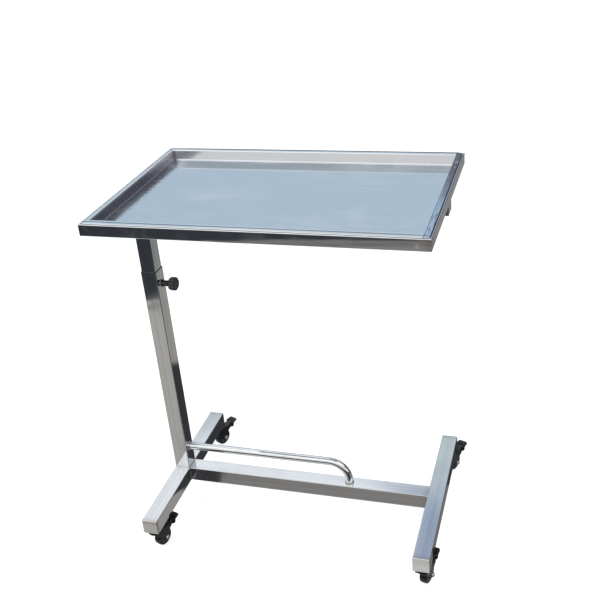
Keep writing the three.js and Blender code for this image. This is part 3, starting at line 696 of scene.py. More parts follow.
rail_points, rail_radius = rail_path()
across = Vector((0, 1, 0))
outside = []
inside = []
for point, angle in rail_points:
    rising = Vector((math.sin(angle), 0, math.cos(angle)))
    outside.append(circle_points(point, rising, across, rail_radius, RAIL_SIDES))
    inside.append(circle_points(point, rising, across, rail_radius - RAIL_WALL, RAIL_SIDES))
rail_mesh = bmesh.new()
loft(rail_mesh, outside + inside[::-1], closed=True)
rail_ends = [("X", rail_points[0][0].x), ("Z", rail_points[-1][0].z)]
rail_steel = bright_steel("foot_rail_steel", welds=rail_ends)
add_piece("foot_rail_tube", rail_mesh, rail_steel, "base", ["foot_rail"])
rail_weld_mesh = bmesh.new()
for (point, angle), normal in zip((rail_points[0], rail_points[-1]), (Vector((1, 0, 0)), Vector((0, 0, 1)))):
    rising = Vector((math.sin(angle), 0, math.cos(angle)))
    ring = circle_points(point + RAIL_WELD_OUT * normal, rising, across, rail_radius + RAIL_WELD_OUT, 48)
    skin_bead(rail_weld_mesh, ring, normal, RAIL_WELD_RADIUS)
add_piece("foot_rail_welds", rail_weld_mesh, weld_bead, "base")

# ---------------------------------------------------------------- column
# Two square tubes, one sliding in the other. The outer one stands on the left
# foot, welded round its base; the inner one is welded under the tray's arm and
# ends in a moulded guide plug.
INNER_WALL = 0.0012
CUT_TOP = 0.0012
COLUMN_WAVINESS = 0.00007
PLASTIC_WORN = (0.06, 0.062, 0.07, 1)


def moulded_plastic(name, colour, roughness, grain=0.00004):
    """Moulded black plastic with a fine spark-eroded grain and rubbed patches."""
    finish = Finish(name)
    pores = finish.noise((1700, 1700, 1700), detail=3.0)
    rubbed = finish.between(finish.noise((75, 75, 75), detail=4.0, roughness=0.6), 0.55, 0.80)
    shade = finish.blend(rubbed * 0.7, colour, PLASTIC_WORN)
    bumps = finish.relief(pores, grain)
    return finish.surface({"Base Color": shade, "Roughness": roughness + 0.12 * rubbed, "Normal": bumps,
                           "Specular IOR Level": 0.55})


column_low, column_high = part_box("outer_column")
column_middle, column_size = middle_and_size("outer_column")
# The outer column's cut top edge gets painted shade.
outer_steel = polished_steel("outer_column_steel", "Z", welds=[("Z", column_low.z)],
                             painted_shade_above=column_high.z - CUT_TOP, waviness=COLUMN_WAVINESS)
add_tube("outer_column", "Z", TUBE_WALL, TUBE_CORNER, outer_steel, "base")
column_base = Vector((column_middle.x, column_middle.y, column_low.z))
add_weld("outer_column_weld", "base",
         ("Z", column_base, column_size.x - WELD_SUNK * WELD_RADIUS, column_size.y + 0.0006))

inner_middle, inner_size = middle_and_size("inner_column")
inner_top = Vector((inner_middle.x, inner_middle.y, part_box("inner_column")[1].z))
inner_steel = polished_steel("inner_column_steel", "Z", welds=[("Z", inner_top.z)], waviness=COLUMN_WAVINESS)
add_tube("inner_column", "Z", INNER_WALL, TUBE_CORNER, inner_steel, "mast")
add_weld("inner_column_weld", "mast", ("Z", inner_top, inner_size.x - 0.0003, inner_size.y + 0.0004))

plug_plastic = moulded_plastic("guide_plug_plastic", (0.018, 0.019, 0.022, 1), 0.45)
frame["nodes"]["inner_column_plug"].data.materials[0] = plug_plastic

# ---------------------------------------------------------------- clamp
# A turned boss welded on the column's inner side carries the clamp's stud. Its
# brass tip presses on the inner column, and a moulded star knob turns it.
THREAD_PITCH = 0.00125
THREAD_DEPTH = 0.0006
KNOB_LOBES = 7
KNOB_SIDES = 12
KNOB_LOBE_SHARE = 0.15
# Along the knob from its neck: place, radius, and how far the lobes are cut in.
KNOB_PROFILE = (
    (0.0, 0.0052, 0), (0.0, 0.0063, 0), (0.0005, 0.0069, 0), (0.0027, 0.0069, 0), (0.0031, 0.0064, 0),
    (0.0038, 0.0064, 0), (0.0042, 0.0070, 0), (0.0090, 0.0071, 0), (0.0110, 0.0078, 0),
    (0.0126, 0.0094, 0.1), (0.0139, 0.0118, 0.4), (0.0148, 0.0137, 0.8), (0.0159, 0.0152, 1),
    (0.0175, 0.0160, 1), (0.0260, 0.0160, 1),
    (0.0286, 0.0157, 1), (0.0302, 0.0149, 0.95), (0.0310, 0.0136, 0.8), (0.0310, 0.0105, 0.4),
    (0.0303, 0.0086, 0.1), (0.0303, 0.0060, 0), (0.0307, 0.0035, 0), (0.0309, 0.0012, 0),
)


def skin_turned(mesh, profile, place, sides=40, closed=False):
    """Round piece from (along, radius) corners."""
    rings = []
    for along, radius in profile:
        turns = [2 * math.pi * k / sides for k in range(sides)]
        rings.append([place(radius * math.cos(turn), radius * math.sin(turn), along) for turn in turns])
    loft(mesh, rings, closed=closed)


def lobed_ring(place, along, radius, cut):
    """Ring with hollows between its lobes."""
    ring = []
    for k in range(KNOB_LOBES * KNOB_SIDES):
        turn = 2 * math.pi * k / (KNOB_LOBES * KNOB_SIDES)
        wave = (1 + math.cos(KNOB_LOBES * turn)) / 2
        reach = radius * (1 - cut * KNOB_LOBE_SHARE * (1 - math.sqrt(wave)))
        ring.append(place(reach * math.cos(turn), reach * math.sin(turn), along))
    return ring


def blackened_steel():
    """Blackened steel, rubbed back to bright metal in places."""
    finish = Finish("boss_steel")
    rubbed = finish.between(finish.noise((160, 160, 160), detail=4.0), 0.52, 0.75)
    shade = finish.blend(rubbed * 0.5, (0.055, 0.057, 0.062, 1), (0.32, 0.325, 0.33, 1))
    bumps = finish.relief(finish.noise((700, 700, 700)), 0.00002)
    return finish.surface({"Base Color": shade, "Metallic": 1.0, "Roughness": 0.28 + 0.1 * rubbed,
                           "Normal": bumps})


boss_middle, boss_size = middle_and_size("clamp_boss")
stud_middle, stud_size = middle_and_size("clamp_stud")
knob_middle, knob_size = middle_and_size("clamp_knob")
clamp_axis = Vector((0, boss_middle.y, boss_middle.z))
on_clamp = lying("X", clamp_axis)
boss_start = boss_middle.x - boss_size.x / 2
boss_end = boss_middle.x + boss_size.x / 2
boss_radius = boss_size.y / 2
stud_radius = stud_size.y / 2
boss_mesh = bmesh.new()
boss_bore = stud_radius + 0.0003
boss_profile = ((boss_start, boss_bore), (boss_start, boss_radius), (boss_end - 0.0009, boss_radius),
                (boss_end - 0.0003, boss_radius - 0.0005), (boss_end, boss_radius - 0.0011),
                (boss_end, boss_bore + 0.0008), (boss_end - 0.0006, boss_bore))
skin_turned(boss_mesh, boss_profile, on_clamp, closed=True)
add_piece("clamp_boss_turned", boss_mesh, blackened_steel(), "base", ["clamp_boss"])
boss_weld_mesh = bmesh.new()
boss_ring = circle_points(on_clamp(0, 0, boss_start + 0.0005), Vector((0, 1, 0)), Vector((0, 0, 1)),
                          boss_radius + 0.0004, 44)
skin_bead(boss_weld_mesh, boss_ring, Vector((1, 0, 0)), 0.0012)
add_piece("clamp_boss_weld", boss_weld_mesh, weld_bead, "base")

knob_start = knob_middle.x - knob_size.x / 2
stud_start = stud_middle.x - stud_size.x / 2
stud_end = knob_start + 0.004
stud_profile = [(stud_start, stud_radius - 0.001)]
for thread in range(int((stud_end - stud_start) / THREAD_PITCH)):
    root = stud_start + 0.0004 + thread * THREAD_PITCH
    stud_profile.append((root, stud_radius - THREAD_DEPTH))
    stud_profile.append((root + THREAD_PITCH / 2, stud_radius))
stud_profile.append((stud_end, stud_radius - THREAD_DEPTH))
stud_mesh = bmesh.new()
skin_turned(stud_mesh, stud_profile, on_clamp, sides=28)
stud_steel = bright_steel("stud_steel")
add_piece("clamp_stud_threaded", stud_mesh, stud_steel, "clamp_knob_body",
          ["clamp_stud"])

knob_mesh = bmesh.new()
knob_rings = [lobed_ring(on_clamp, knob_start + along, radius, cut) for along, radius, cut in KNOB_PROFILE]
loft(knob_mesh, knob_rings)
knob_plastic = moulded_plastic("knob_plastic", (0.017, 0.018, 0.022, 1), 0.34)
add_piece("clamp_knob_star", knob_mesh, knob_plastic, "clamp_knob_body", ["clamp_knob"])


def turned_brass():
    """Brass with turning marks and a dull bloom."""
    finish = Finish("tip_brass")
    marks = finish.noise((2600, 40, 40), detail=1.0)
    bloom = finish.between(finish.noise((300, 300, 300)), 0.45, 0.7)
    shade = finish.blend(bloom, (0.72, 0.55, 0.27, 1), (0.48, 0.36, 0.19, 1))
    return finish.surface({"Base Color": shade, "Metallic": 1.0, "Roughness": 0.22 + 0.2 * bloom,
                           "Normal": finish.relief(marks, 0.00001)})


frame["nodes"]["clamp_tip"].data.materials[0] = turned_brass()

# ---------------------------------------------------------------- tray carrier
# Four lengths of rectangular tube, mitred and welded into a frame with the
# seams ground flush, on a wider flat tube whose ends are plated over.
CARRIER_WALL = 0.0012
CARRIER_CORNER = 0.0015
MITRE_SEAM = 0.00035
SMUDGE_FROM_END = 0.026
SMUDGE_HEIGHT = 0.010


def mitre_of(side, width):
    """How much shorter a rail is at each point of its section, measured from its outer face."""
    outward = {"front": -1, "left": -1, "back": 1, "right": 1}[side]
    return lambda across, up: width / 2 - outward * across


def dimpled_steel(name, axis, welds, smudges=(), smudge_height=0):
    """Polished tube whose long faces keep faint drawn lines, small dents and smudges from handling."""
    finish = Finish(name)
    fine = [1300.0, 1300.0, 1300.0]
    fine[ALONG[axis]] = 7.0
    drawn = [150.0, 150.0, 150.0]
    drawn[ALONG[axis]] = 2.6
    slow = [40.0, 40.0, 40.0]
    slow[ALONG[axis]] = 5.0
    lines = finish.noise(drawn, detail=3.0)
    clouds = finish.between(finish.noise((14, 14, 14), detail=5.0, roughness=0.6), 0.48, 0.76)
    colour = finish.blend(clouds, STEEL_COLOUR, STEEL_CLOUDED)
    colour = heated(finish, colour, welds, (0.001, 0.012), 0.5)
    places = finish.split(finish.place)
    rough = 0.018 + 0.02 * clouds + 0.02 * lines
    metal = 1 - 0.05 * clouds
    for smudge in smudges:
        spot = 1 - finish.between(abs(places[0] - smudge), 0.0004, 0.0048)
        spot = spot * (1 - finish.between(abs(places[2] - smudge_height), 0.0040, 0.0105))
        spot = spot * finish.between(finish.noise((150, 150, 60), detail=2.0), 0.20, 0.55)
        colour = finish.blend(spot * 0.5, colour, (0.74, 0.74, 0.73, 1))
        rough = rough + 0.18 * spot
        metal = metal - 0.22 * spot
    bumps = finish.relief(finish.noise(slow, detail=2.0), 0.00005)
    bumps = finish.relief(lines, 0.000003, below=bumps)
    bumps = finish.relief(finish.noise(fine, detail=2.0), 0.0000025, below=bumps)
    return finish.surface({"Base Color": colour, "Metallic": metal, "Roughness": rough, "Normal": bumps})


carrier_low = Vector((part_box("frame_rail_left")[0].x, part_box("frame_rail_front")[0].y, 0))
carrier_high = Vector((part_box("frame_rail_right")[1].x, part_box("frame_rail_back")[1].y, 0))
for side, axis in (("front", "X"), ("right", "Y"), ("back", "X"), ("left", "Y")):
    rail = f"frame_rail_{side}"
    rail_middle, rail_size = middle_and_size(rail)
    rail_width = across_sizes(axis, rail_size)[0]
    start, end = carrier_low[ALONG[axis]], carrier_high[ALONG[axis]]
    welds = [(axis, start + rail_width / 2), (axis, end - rail_width / 2)]
    smudges = (carrier_high.x - SMUDGE_FROM_END,) if side == "front" else ()
    smudge_height = rail_middle.z - rail_size.z / 2 + SMUDGE_HEIGHT
    rail_steel = dimpled_steel(f"{rail}_steel", axis, welds, smudges, smudge_height)
    add_tube(rail, axis, CARRIER_WALL, CARRIER_CORNER, rail_steel, "mast", mitre_of(side, rail_width))

rail_middle, rail_size = middle_and_size("frame_rail_front")
mitre_outline = rounded_outline(rail_size.y - 0.0002, rail_size.z - 0.0001, CARRIER_CORNER)
for name, x_side, y_side in (("front_left", -1, -1), ("front_right", 1, -1), ("back_right", 1, 1),
                             ("back_left", -1, 1)):
    corner_x = carrier_high.x if x_side > 0 else carrier_low.x
    corner_y = carrier_high.y if y_side > 0 else carrier_low.y
    corner = Vector((corner_x, corner_y, rail_middle.z))
    inward = Vector((-x_side, -y_side, 0))
    sideways = Vector((x_side, -y_side, 0)).normalized()
    rings = []
    for shift in (-MITRE_SEAM, MITRE_SEAM):
        ring = []
        for depth, up in mitre_outline:
            along_mitre = (rail_size.y / 2 + depth + MITRE_SEAM) * inward
            ring.append(corner + along_mitre + Vector((0, 0, up)) + shift * sideways)
        rings.append(ring)
    seam_mesh = bmesh.new()
    loft(seam_mesh, rings)
    add_piece(f"frame_seam_{name}", seam_mesh, weld_bead, "mast")

arm_steel = polished_steel("support_arm_steel", "X", welds=both_ends("X", "support_arm"))
add_tube("support_arm", "X", CARRIER_WALL, CARRIER_CORNER, arm_steel, "mast")
for side, inward in (("left", 1), ("right", -1)):
    cap = f"arm_end_cap_{side}"
    cap_middle, cap_size = middle_and_size(cap)
    cap_steel = polished_steel(f"{cap}_steel", "Y", clouding=1.3, roughness=0.12)
    add_plate(cap, "X", CARRIER_CORNER, cap_steel, "mast")
    cap_joint = cap_middle + Vector((inward * cap_size.x / 2, 0, 0))
    add_weld(f"{cap}_weld", "mast", ("X", cap_joint, cap_size.y - WELD_FLUSH, cap_size.z - WELD_FLUSH),
             corner=CARRIER_CORNER)

# ---------------------------------------------------------------- tray
# One sheet pressed to a shallow pan. Its flat rim rests on the carrier and is
# turned down at the edge; only the rim's outer corners are rounded. Bright
# rolled finish, clouded by use.
TRAY_SHEET = 0.001
FLOOR_BEND = 0.0028
RIM_BEND = 0.0022
LIP_BEND = 0.0011
RIM_CORNER = 0.012
PAN_CORNER = 0.0020
WALL_SPREAD = 0.0008
RIM_DROOP = 0.0008
RIM_FLAT_SHARE = 0.48
PAN_CLEAR_ENDS = 0.0165
PAN_CLEAR_SIDES = 0.021
LIP_DROP = 0.0022
BEND_STEPS = 6


def bend(centre, radius, start, end):
    """(outward, up) points round a bend in the sheet's section, from start to end in degrees."""
    points = []
    for step in range(BEND_STEPS + 1):
        angle = math.radians(start + (end - start) * step / BEND_STEPS)
        points.append((centre[0] + radius * math.cos(angle), centre[1] + radius * math.sin(angle)))
    return points


def tray_section(top, floor, rim):
    """Section of the sheet from the pan's floor over the rim and back underneath, as (outward, up).
    Outward is counted from the pan's wall, which spreads a little; the rim droops a little."""
    section = bend((-WALL_SPREAD - FLOOR_BEND, floor + FLOOR_BEND), FLOOR_BEND, -90, 0)
    section += bend((RIM_BEND, top - RIM_BEND), RIM_BEND, 180, 90)
    section += [(rim * RIM_FLAT_SHARE, top), (rim * (RIM_FLAT_SHARE + 0.06), top - RIM_DROOP / 20)]
    edge = top - RIM_DROOP - LIP_BEND
    section += bend((rim - LIP_BEND, edge), LIP_BEND, 90, 0)
    section += [(rim, top - LIP_DROP), (rim - TRAY_SHEET, top - LIP_DROP)]
    section += bend((rim - LIP_BEND, edge), LIP_BEND - TRAY_SHEET, 0, 90)
    section.append((rim * RIM_FLAT_SHARE, top - TRAY_SHEET))
    section += bend((RIM_BEND, top - RIM_BEND), RIM_BEND - TRAY_SHEET, 90, 180)
    section += bend((-WALL_SPREAD - FLOOR_BEND, floor + FLOOR_BEND), FLOOR_BEND + TRAY_SHEET, 0, -90)
    return section


def rolled_sheet(left, right, front, rim_right, rim_front, rim_back, top):
    """Rolled stainless sheet: cloudy handling marks, faint grain along it, small scratches, not quite flat.
    The rim is painted lighter than the floor as a painted sheen; the right rim carries a painted reflection,
    and thin dark lines of painted shade run along the right rim's inner bend and outer face, the back edge,
    the front rim's crease and the left wall's bend."""
    finish = Finish("tray_sheet")
    x, y, z = finish.split(finish.place)
    clouds = finish.noise((7, 9, 9), detail=6.0, roughness=0.62)
    hazy = finish.between(clouds, 0.42, 0.70)
    grain = finish.noise((12, 1100, 1100), detail=2.0)
    wiped = finish.between(finish.noise((5, 46, 46), detail=4.0), 0.60, 0.78)
    specks = finish.between(finish.noise((260, 260, 260), detail=3.0), 0.69, 0.75)
    colour = finish.blend(hazy, (0.765, 0.775, 0.795, 1), (0.81, 0.82, 0.83, 1))
    colour = finish.blend(wiped * 0.5, colour, (0.88, 0.89, 0.90, 1))
    colour = finish.blend(specks * 0.5, colour, (0.55, 0.56, 0.57, 1))
    on_rim = finish.between(z, top - 0.0022, top - 0.0012)
    # Painted sheen: the rim is painted a lighter grey than the floor.
    colour = finish.blend(on_rim, colour, (0.90, 0.90, 0.90, 1))
    # Painted reflection on the right rim: blue-grey towards the front, dark brownish towards the back,
    # streaked with dark and pale mottling.
    mottle = finish.noise((330, 34, 34), detail=5.0, roughness=0.6)
    toward_front = finish.between(0.10 * clouds - y, -0.05, 0.20)
    right_rim_reflection = finish.blend(toward_front, (0.16, 0.12, 0.145, 1), (0.56, 0.66, 0.78, 1))
    right_rim_reflection = finish.blend(finish.between(mottle, 0.50, 0.68), right_rim_reflection, (0.15, 0.15, 0.20, 1))
    right_rim_reflection = finish.blend(finish.between(mottle, 0.30, 0.40), (0.62, 0.66, 0.72, 1), right_rim_reflection)
    right_rim = finish.between(x, right - 0.0010, right + 0.0004) * on_rim
    colour = finish.blend(right_rim, colour, right_rim_reflection)
    # Painted shade: a thin dark line along the right rim's inner bend.
    right_bend_shade = 1 - finish.between(abs(x - (right + 0.0012)), 0.0004, 0.0012)
    colour = finish.blend(right_bend_shade * on_rim * 0.75, colour, (0.10, 0.12, 0.17, 1))
    # Painted shade: the right rim's turned-down outer face is painted near-black, standing in for the shadow
    # gap over the carrier.
    right_lip_shade = finish.between(x, rim_right - 0.0026, rim_right - 0.0020)
    # Painted shade: a dark band along the back rim's outer edge.
    back_lip_shade = finish.between(y, rim_back - 0.0055, rim_back - 0.0045) * finish.between(x, -0.05, 0.30)
    colour = finish.blend(right_lip_shade * 0.94, colour, (0.05, 0.05, 0.06, 1))
    colour = finish.blend(back_lip_shade * 0.7, colour, (0.10, 0.10, 0.11, 1))
    # Painted shade: a thin dark line along the front rim where it starts to droop.
    front_crease = front - (RIM_FLAT_SHARE + 0.03) * (front - rim_front)
    front_crease_shade = 1 - finish.between(abs(y - front_crease), 0.0012, 0.0026)
    colour = finish.blend(front_crease_shade * on_rim * 0.8, colour, (0.10, 0.12, 0.16, 1))
    # Painted shade: the left wall's bend is painted dark so it shows no bright reflected line.
    left_bend_shade = finish.band(x, (left - 0.0004, left + 0.0004), (left + 0.0035, left + 0.0060))
    colour = finish.blend(left_bend_shade * (1 - on_rim) * 0.85, colour, (0.24, 0.24, 0.28, 1))
    by_wall = 1 - finish.between(x, left + 0.010, left + 0.050)
    dents = finish.noise((60, 95, 95), detail=3.0)
    bumps = finish.relief(finish.noise((5.5, 7.0, 7.0), detail=2.0), 0.00045)
    bumps = finish.relief(dents * by_wall, 0.0006, below=bumps)
    bumps = finish.relief(clouds, 0.00003, below=bumps)
    bumps = finish.relief(grain, 0.000002, below=bumps)
    rough = 0.085 + 0.07 * hazy + 0.08 * wiped + 0.15 * specks + 0.06 * right_rim + 0.12 * by_wall
    return finish.surface({"Base Color": colour, "Metallic": 1.0, "Roughness": rough, "Normal": bumps})


tray_middle, tray_size = middle_and_size("tray")
tray_top = tray_middle.z + tray_size.z / 2
tray_floor = tray_middle.z - tray_size.z / 2 + TRAY_SHEET
pan_width = carrier_high.x - carrier_low.x - 2 * PAN_CLEAR_ENDS
pan_depth = carrier_high.y - carrier_low.y - 2 * PAN_CLEAR_SIDES
rim_reach_x = (tray_size.x - pan_width) / 2
rim_reach_y = (tray_size.y - pan_depth) / 2
section_x = tray_section(tray_top, tray_floor, rim_reach_x)
section_y = tray_section(tray_top, tray_floor, rim_reach_y)
tray_rings = []
for (out_x, up), out_y in zip(section_x, [out for out, up in section_y]):
    if out_x < 0:
        corner = max(PAN_CORNER + out_x, 0.0004)
    else:
        corner = PAN_CORNER + (RIM_CORNER - PAN_CORNER) * out_x / rim_reach_x
    outline = rounded_outline(pan_width + 2 * out_x, pan_depth + 2 * out_y, corner, steps=8)
    ring = [Vector((tray_middle.x + across, tray_middle.y + along, up)) for across, along in outline]
    tray_rings.append(ring)
tray_mesh = bmesh.new()
loft(tray_mesh, tray_rings)
tray_low, tray_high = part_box("tray")
tray_sheet = rolled_sheet(left=tray_middle.x - pan_width / 2, right=tray_middle.x + pan_width / 2,
                          front=tray_middle.y - pan_depth / 2, rim_right=tray_high.x,
                          rim_front=tray_low.y, rim_back=tray_high.y, top=tray_top)
add_piece("tray_pressed", tray_mesh, tray_sheet, "tray_body", ["tray"])

# ---------------------------------------------------------------- casters
# Four alike: a ball race held to the foot by a kingpin, a pressed steel fork
# in black enamel, a 45 mm wheel on a bolt and a moulded brake pedal.
CORNERS = ("front_left", "back_left", "front_right", "back_right")
TREAD_CROWN = 0.0004
WHEEL_BORE = 0.0033
RIBS = 6
FORK_SHEET = 0.0025
FORK_EDGE = 0.0006
FORK_COLUMNS = 10
FORK_BEND = 0.003
LEG_TIP_RADIUS = 0.008
LEG_BACK = 0.012
LEG_SHOULDER = 0.006
EAR_RADIUS = 0.006
WHEEL_HALF = 0.009
RIM_RADIUS = 0.0143
FORK_HALF = 0.014
CROWN_RADIUS = 0.018
WHEEL_EDGE = 0.0034
BARREL_RADIUS = 0.004
RIB_TURN = 0.3
NUT_START = 0.0143
NUT_END = 0.0193
NUT_FLATS = 0.010
NUT_CHAMFER = 0.0006
# Outlines of turned pieces as (place along the axis, radius). The hub's is one half.
HUB_HALF = (
    (-0.0088, WHEEL_BORE), (-0.0088, 0.0056), (-0.0082, 0.0061), (-0.0058, 0.0064), (-0.0054, 0.0070),
    (-0.0054, 0.0110), (-0.0060, 0.0117), (-0.0084, 0.0121), (-0.0088, 0.0126), (-0.0088, 0.0139),
    (-0.0083, RIM_RADIUS),
)
BOLT_PROFILE = (
    (-0.0183, 0.0015), (-0.0182, 0.0030), (-0.0176, 0.0043), (-0.0164, 0.0052), (-0.0150, 0.0055),
    (-0.0143, 0.0054), (-0.0143, 0.0030), (0.0200, 0.0030), (0.0207, 0.0024),
)
PEDAL_PIN = ((-0.015, 0.0018), (-0.0146, 0.0025), (0.0146, 0.0025), (0.015, 0.0018))
# Along the pedal from the swivel's axis: place, width, top and underside above the pedal's pivot.
PEDAL_SECTIONS = (
    (0.0385, 0.0212, 0.0038, -0.0035), (0.0412, 0.0216, 0.0044, -0.0045), (0.0422, 0.0178, 0.0046, -0.0070),
    (0.0440, 0.0150, 0.0048, -0.0098), (0.0480, 0.0146, 0.0049, -0.0104), (0.0508, 0.0150, 0.0050, -0.0100),
    (0.0524, 0.0185, 0.0050, -0.0095), (0.0540, 0.0232, 0.0050, -0.0088), (0.0566, 0.0256, 0.0051, -0.0080),
    (0.0580, 0.0260, 0.0052, -0.0040), (0.0590, 0.0260, 0.0053, 0.0008), (0.0650, 0.0260, 0.0056, 0.0018),
    (0.0705, 0.0250, 0.0060, 0.0029), (0.0737, 0.0215, 0.0062, 0.0036), (0.0750, 0.0165, 0.0056, 0.0044),
)
GRIP_RIBS = (0.0575, 0.0605, 0.0635, 0.0665, 0.0695)
GRIP_RIB_TOP = 0.0064
GRIP_RIB_HALF = 0.0007
GRIP_RIB_REACH = 0.0105


def enamel(name, colour=(0.008, 0.0085, 0.010, 1)):
    """Black enamel over pressed steel, a little orange-peeled, with dust and rubbed spots."""
    finish = Finish(name)
    peel = finish.noise((520, 520, 520), detail=2.0)
    dust = finish.between(finish.noise((60, 60, 60), detail=5.0, roughness=0.65), 0.50, 0.78)
    shade = finish.blend(dust * 0.3, colour, (0.050, 0.050, 0.050, 1))
    return finish.surface({"Base Color": shade, "Roughness": 0.13 + 0.22 * dust, "Specular IOR Level": 0.35,
                           "Normal": finish.relief(peel, 0.00003), "Coat Weight": 0.08})


def tread_rubber():
    """Hard black tyre, scuffed and dusty in patches."""
    finish = Finish("tyre_rubber")
    scuffs = finish.between(finish.noise((210, 210, 210), detail=5.0, roughness=0.65), 0.45, 0.72)
    shade = finish.blend(scuffs, (0.006, 0.0065, 0.008, 1), (0.028, 0.028, 0.028, 1))
    bumps = finish.relief(finish.noise((900, 900, 900), detail=3.0), 0.00006)
    return finish.surface({"Base Color": shade, "Roughness": 0.20 + 0.25 * scuffs, "Specular IOR Level": 0.3,
                           "Normal": bumps})


def nylon():
    """Dark grey moulded nylon with a satin skin."""
    finish = Finish("wheel_nylon")
    flow = finish.noise((130, 130, 130), detail=4.0)
    shade = finish.blend(finish.between(flow, 0.35, 0.7), (0.028, 0.030, 0.035, 1), (0.075, 0.078, 0.085, 1))
    bumps = finish.relief(finish.noise((1200, 1200, 1200)), 0.00003)
    return finish.surface({"Base Color": shade, "Roughness": 0.20 + 0.15 * flow, "Normal": bumps})


def zinc_plate():
    """Bright zinc plating with a faint straw bloom and fine turning marks."""
    finish = Finish("zinc_plate")
    bloom = finish.between(finish.noise((240, 240, 240), detail=3.0), 0.42, 0.70)
    shade = finish.blend(bloom, (0.66, 0.675, 0.69, 1), (0.55, 0.54, 0.49, 1))
    bumps = finish.relief(finish.noise((900, 900, 900)), 0.00002)
    return finish.surface({"Base Color": shade, "Metallic": 1.0, "Roughness": 0.20 + 0.16 * bloom,
                           "Normal": bumps})


fork_enamel = enamel("fork_enamel")
race_enamel = enamel("race_enamel", colour=(0.012, 0.0125, 0.015, 1))
tyre_rubber = tread_rubber()
wheel_nylon = nylon()
plated_zinc = zinc_plate()
pedal_plastic = moulded_plastic("pedal_plastic", (0.008, 0.0085, 0.010, 1), 0.20, grain=0.00002)
pivots = {joint["name"]: Vector(joint["pos_m"]) for joint in frame["joints"] if "pos_m" in joint}


def caster_space(name):
    """Turns (trail, side, up) about a caster's swivel axis into a place in the frame. The wheel
    trails. Also the axle's and the pedal pivot's places, as (trail, 0, up)."""
    swivel, spin, brake = [pivots[f"{name}_{joint}"] for joint in ("swivel", "spin", "brake")]
    trail = Vector((spin.x - swivel.x, spin.y - swivel.y, 0)).normalized()
    side = Vector((-trail.y, trail.x, 0))
    foot = Vector((swivel.x, swivel.y, 0))

    def space(forward, across, up):
        return foot + forward * trail + across * side + Vector((0, 0, up))

    axle = Vector((math.hypot(spin.x - swivel.x, spin.y - swivel.y), 0, spin.z))
    pivot = Vector((math.hypot(brake.x - swivel.x, brake.y - swivel.y), 0, brake.z))
    return space, axle, pivot


def leg_edges(up, centre, pivot, crown):
    """Where a fork's leg starts and ends along the trail at a height."""
    reach, axle = centre.x, centre.z
    below = max(0.0, axle - up)
    half = math.sqrt(max(LEG_TIP_RADIUS ** 2 - below ** 2, 0.0004 ** 2))
    shoulder = crown - LEG_SHOULDER
    if up <= axle:
        return reach - half, reach + half
    rise = min(1.0, (up - axle) / (shoulder - axle))
    back = reach - LEG_TIP_RADIUS - (reach - LEG_TIP_RADIUS + LEG_BACK) * rise
    ear_low = pivot.z - EAR_RADIUS
    if up < ear_low:
        share = (up - axle) / (ear_low - axle)
        front = reach + LEG_TIP_RADIUS + share * (pivot.x - EAR_RADIUS / 2 - reach - LEG_TIP_RADIUS)
    else:
        front = pivot.x + math.sqrt(max(EAR_RADIUS ** 2 - (up - pivot.z) ** 2, 0.0))
    return back, front


def fork_sections(centre, pivot, crown):
    """Sections of the bent sheet from one leg's tip over the crown to the other's: middle of the
    sheet as (across, up), outward direction, and the sheet's extent along the trail."""
    middle = FORK_HALF - FORK_SHEET / 2
    top = crown + FORK_SHEET / 2
    axle = centre.z
    tip = axle - LEG_TIP_RADIUS
    heights = [tip + LEG_TIP_RADIUS * (1 - math.cos(math.radians(angle))) for angle in range(4, 91, 11)]
    heights += [axle + (pivot.z - EAR_RADIUS - axle) * k / 4 for k in range(1, 5)]
    heights += [pivot.z - EAR_RADIUS * math.cos(math.radians(angle)) for angle in range(12, 145, 12)]
    heights = [height for height in heights if height < top - FORK_BEND]
    leg = [((middle, height), (1, 0), leg_edges(height, centre, pivot, crown)) for height in heights]
    plate_end = pivot.x - EAR_RADIUS - 0.004
    corner = []
    last_front = leg[-1][2][1]
    for step in range(6):
        angle = math.radians(90 * step / 5)
        spot = (middle - FORK_BEND * (1 - math.cos(angle)), top - FORK_BEND * (1 - math.sin(angle)))
        front = last_front + (plate_end - last_front) * step / 5
        round_back = -max(LEG_BACK, math.sqrt(max(CROWN_RADIUS ** 2 - spot[0] ** 2, 0.0)))
        back = round_back * step / 5 - LEG_BACK * (1 - step / 5)
        corner.append((spot, (math.cos(angle), math.sin(angle)), (back, front)))
    crown_half = []
    for step in range(1, 7):
        spot = (middle - FORK_BEND) * (1 - step / 6)
        back = -max(LEG_BACK, math.sqrt(CROWN_RADIUS ** 2 - spot ** 2))
        crown_half.append(((spot, top), (0, 1), (back, plate_end)))
    half = leg + corner + crown_half
    other = [((-spot[0], spot[1]), (-out[0], out[1]), extent) for spot, out, extent in half[:-1]]
    return half + other[::-1]


def skin_fork(mesh, space, sections):
    rings = []
    for (across, up), (out, over), (back, front) in sections:
        ring = []
        for face, order in ((0.5, range(FORK_COLUMNS)), (-0.5, range(FORK_COLUMNS - 1, -1, -1))):
            for column in order:
                edge = min(FORK_EDGE, (front - back) / 4)
                along = back + edge + (front - back - 2 * edge) * column / (FORK_COLUMNS - 1)
                shift = face * FORK_SHEET
                ring.append(space(along, across + shift * out, up + shift * over))
            end = front if face > 0 else back
            ring.append(space(end, across, up))
        rings.append(ring)
    loft(mesh, rings)


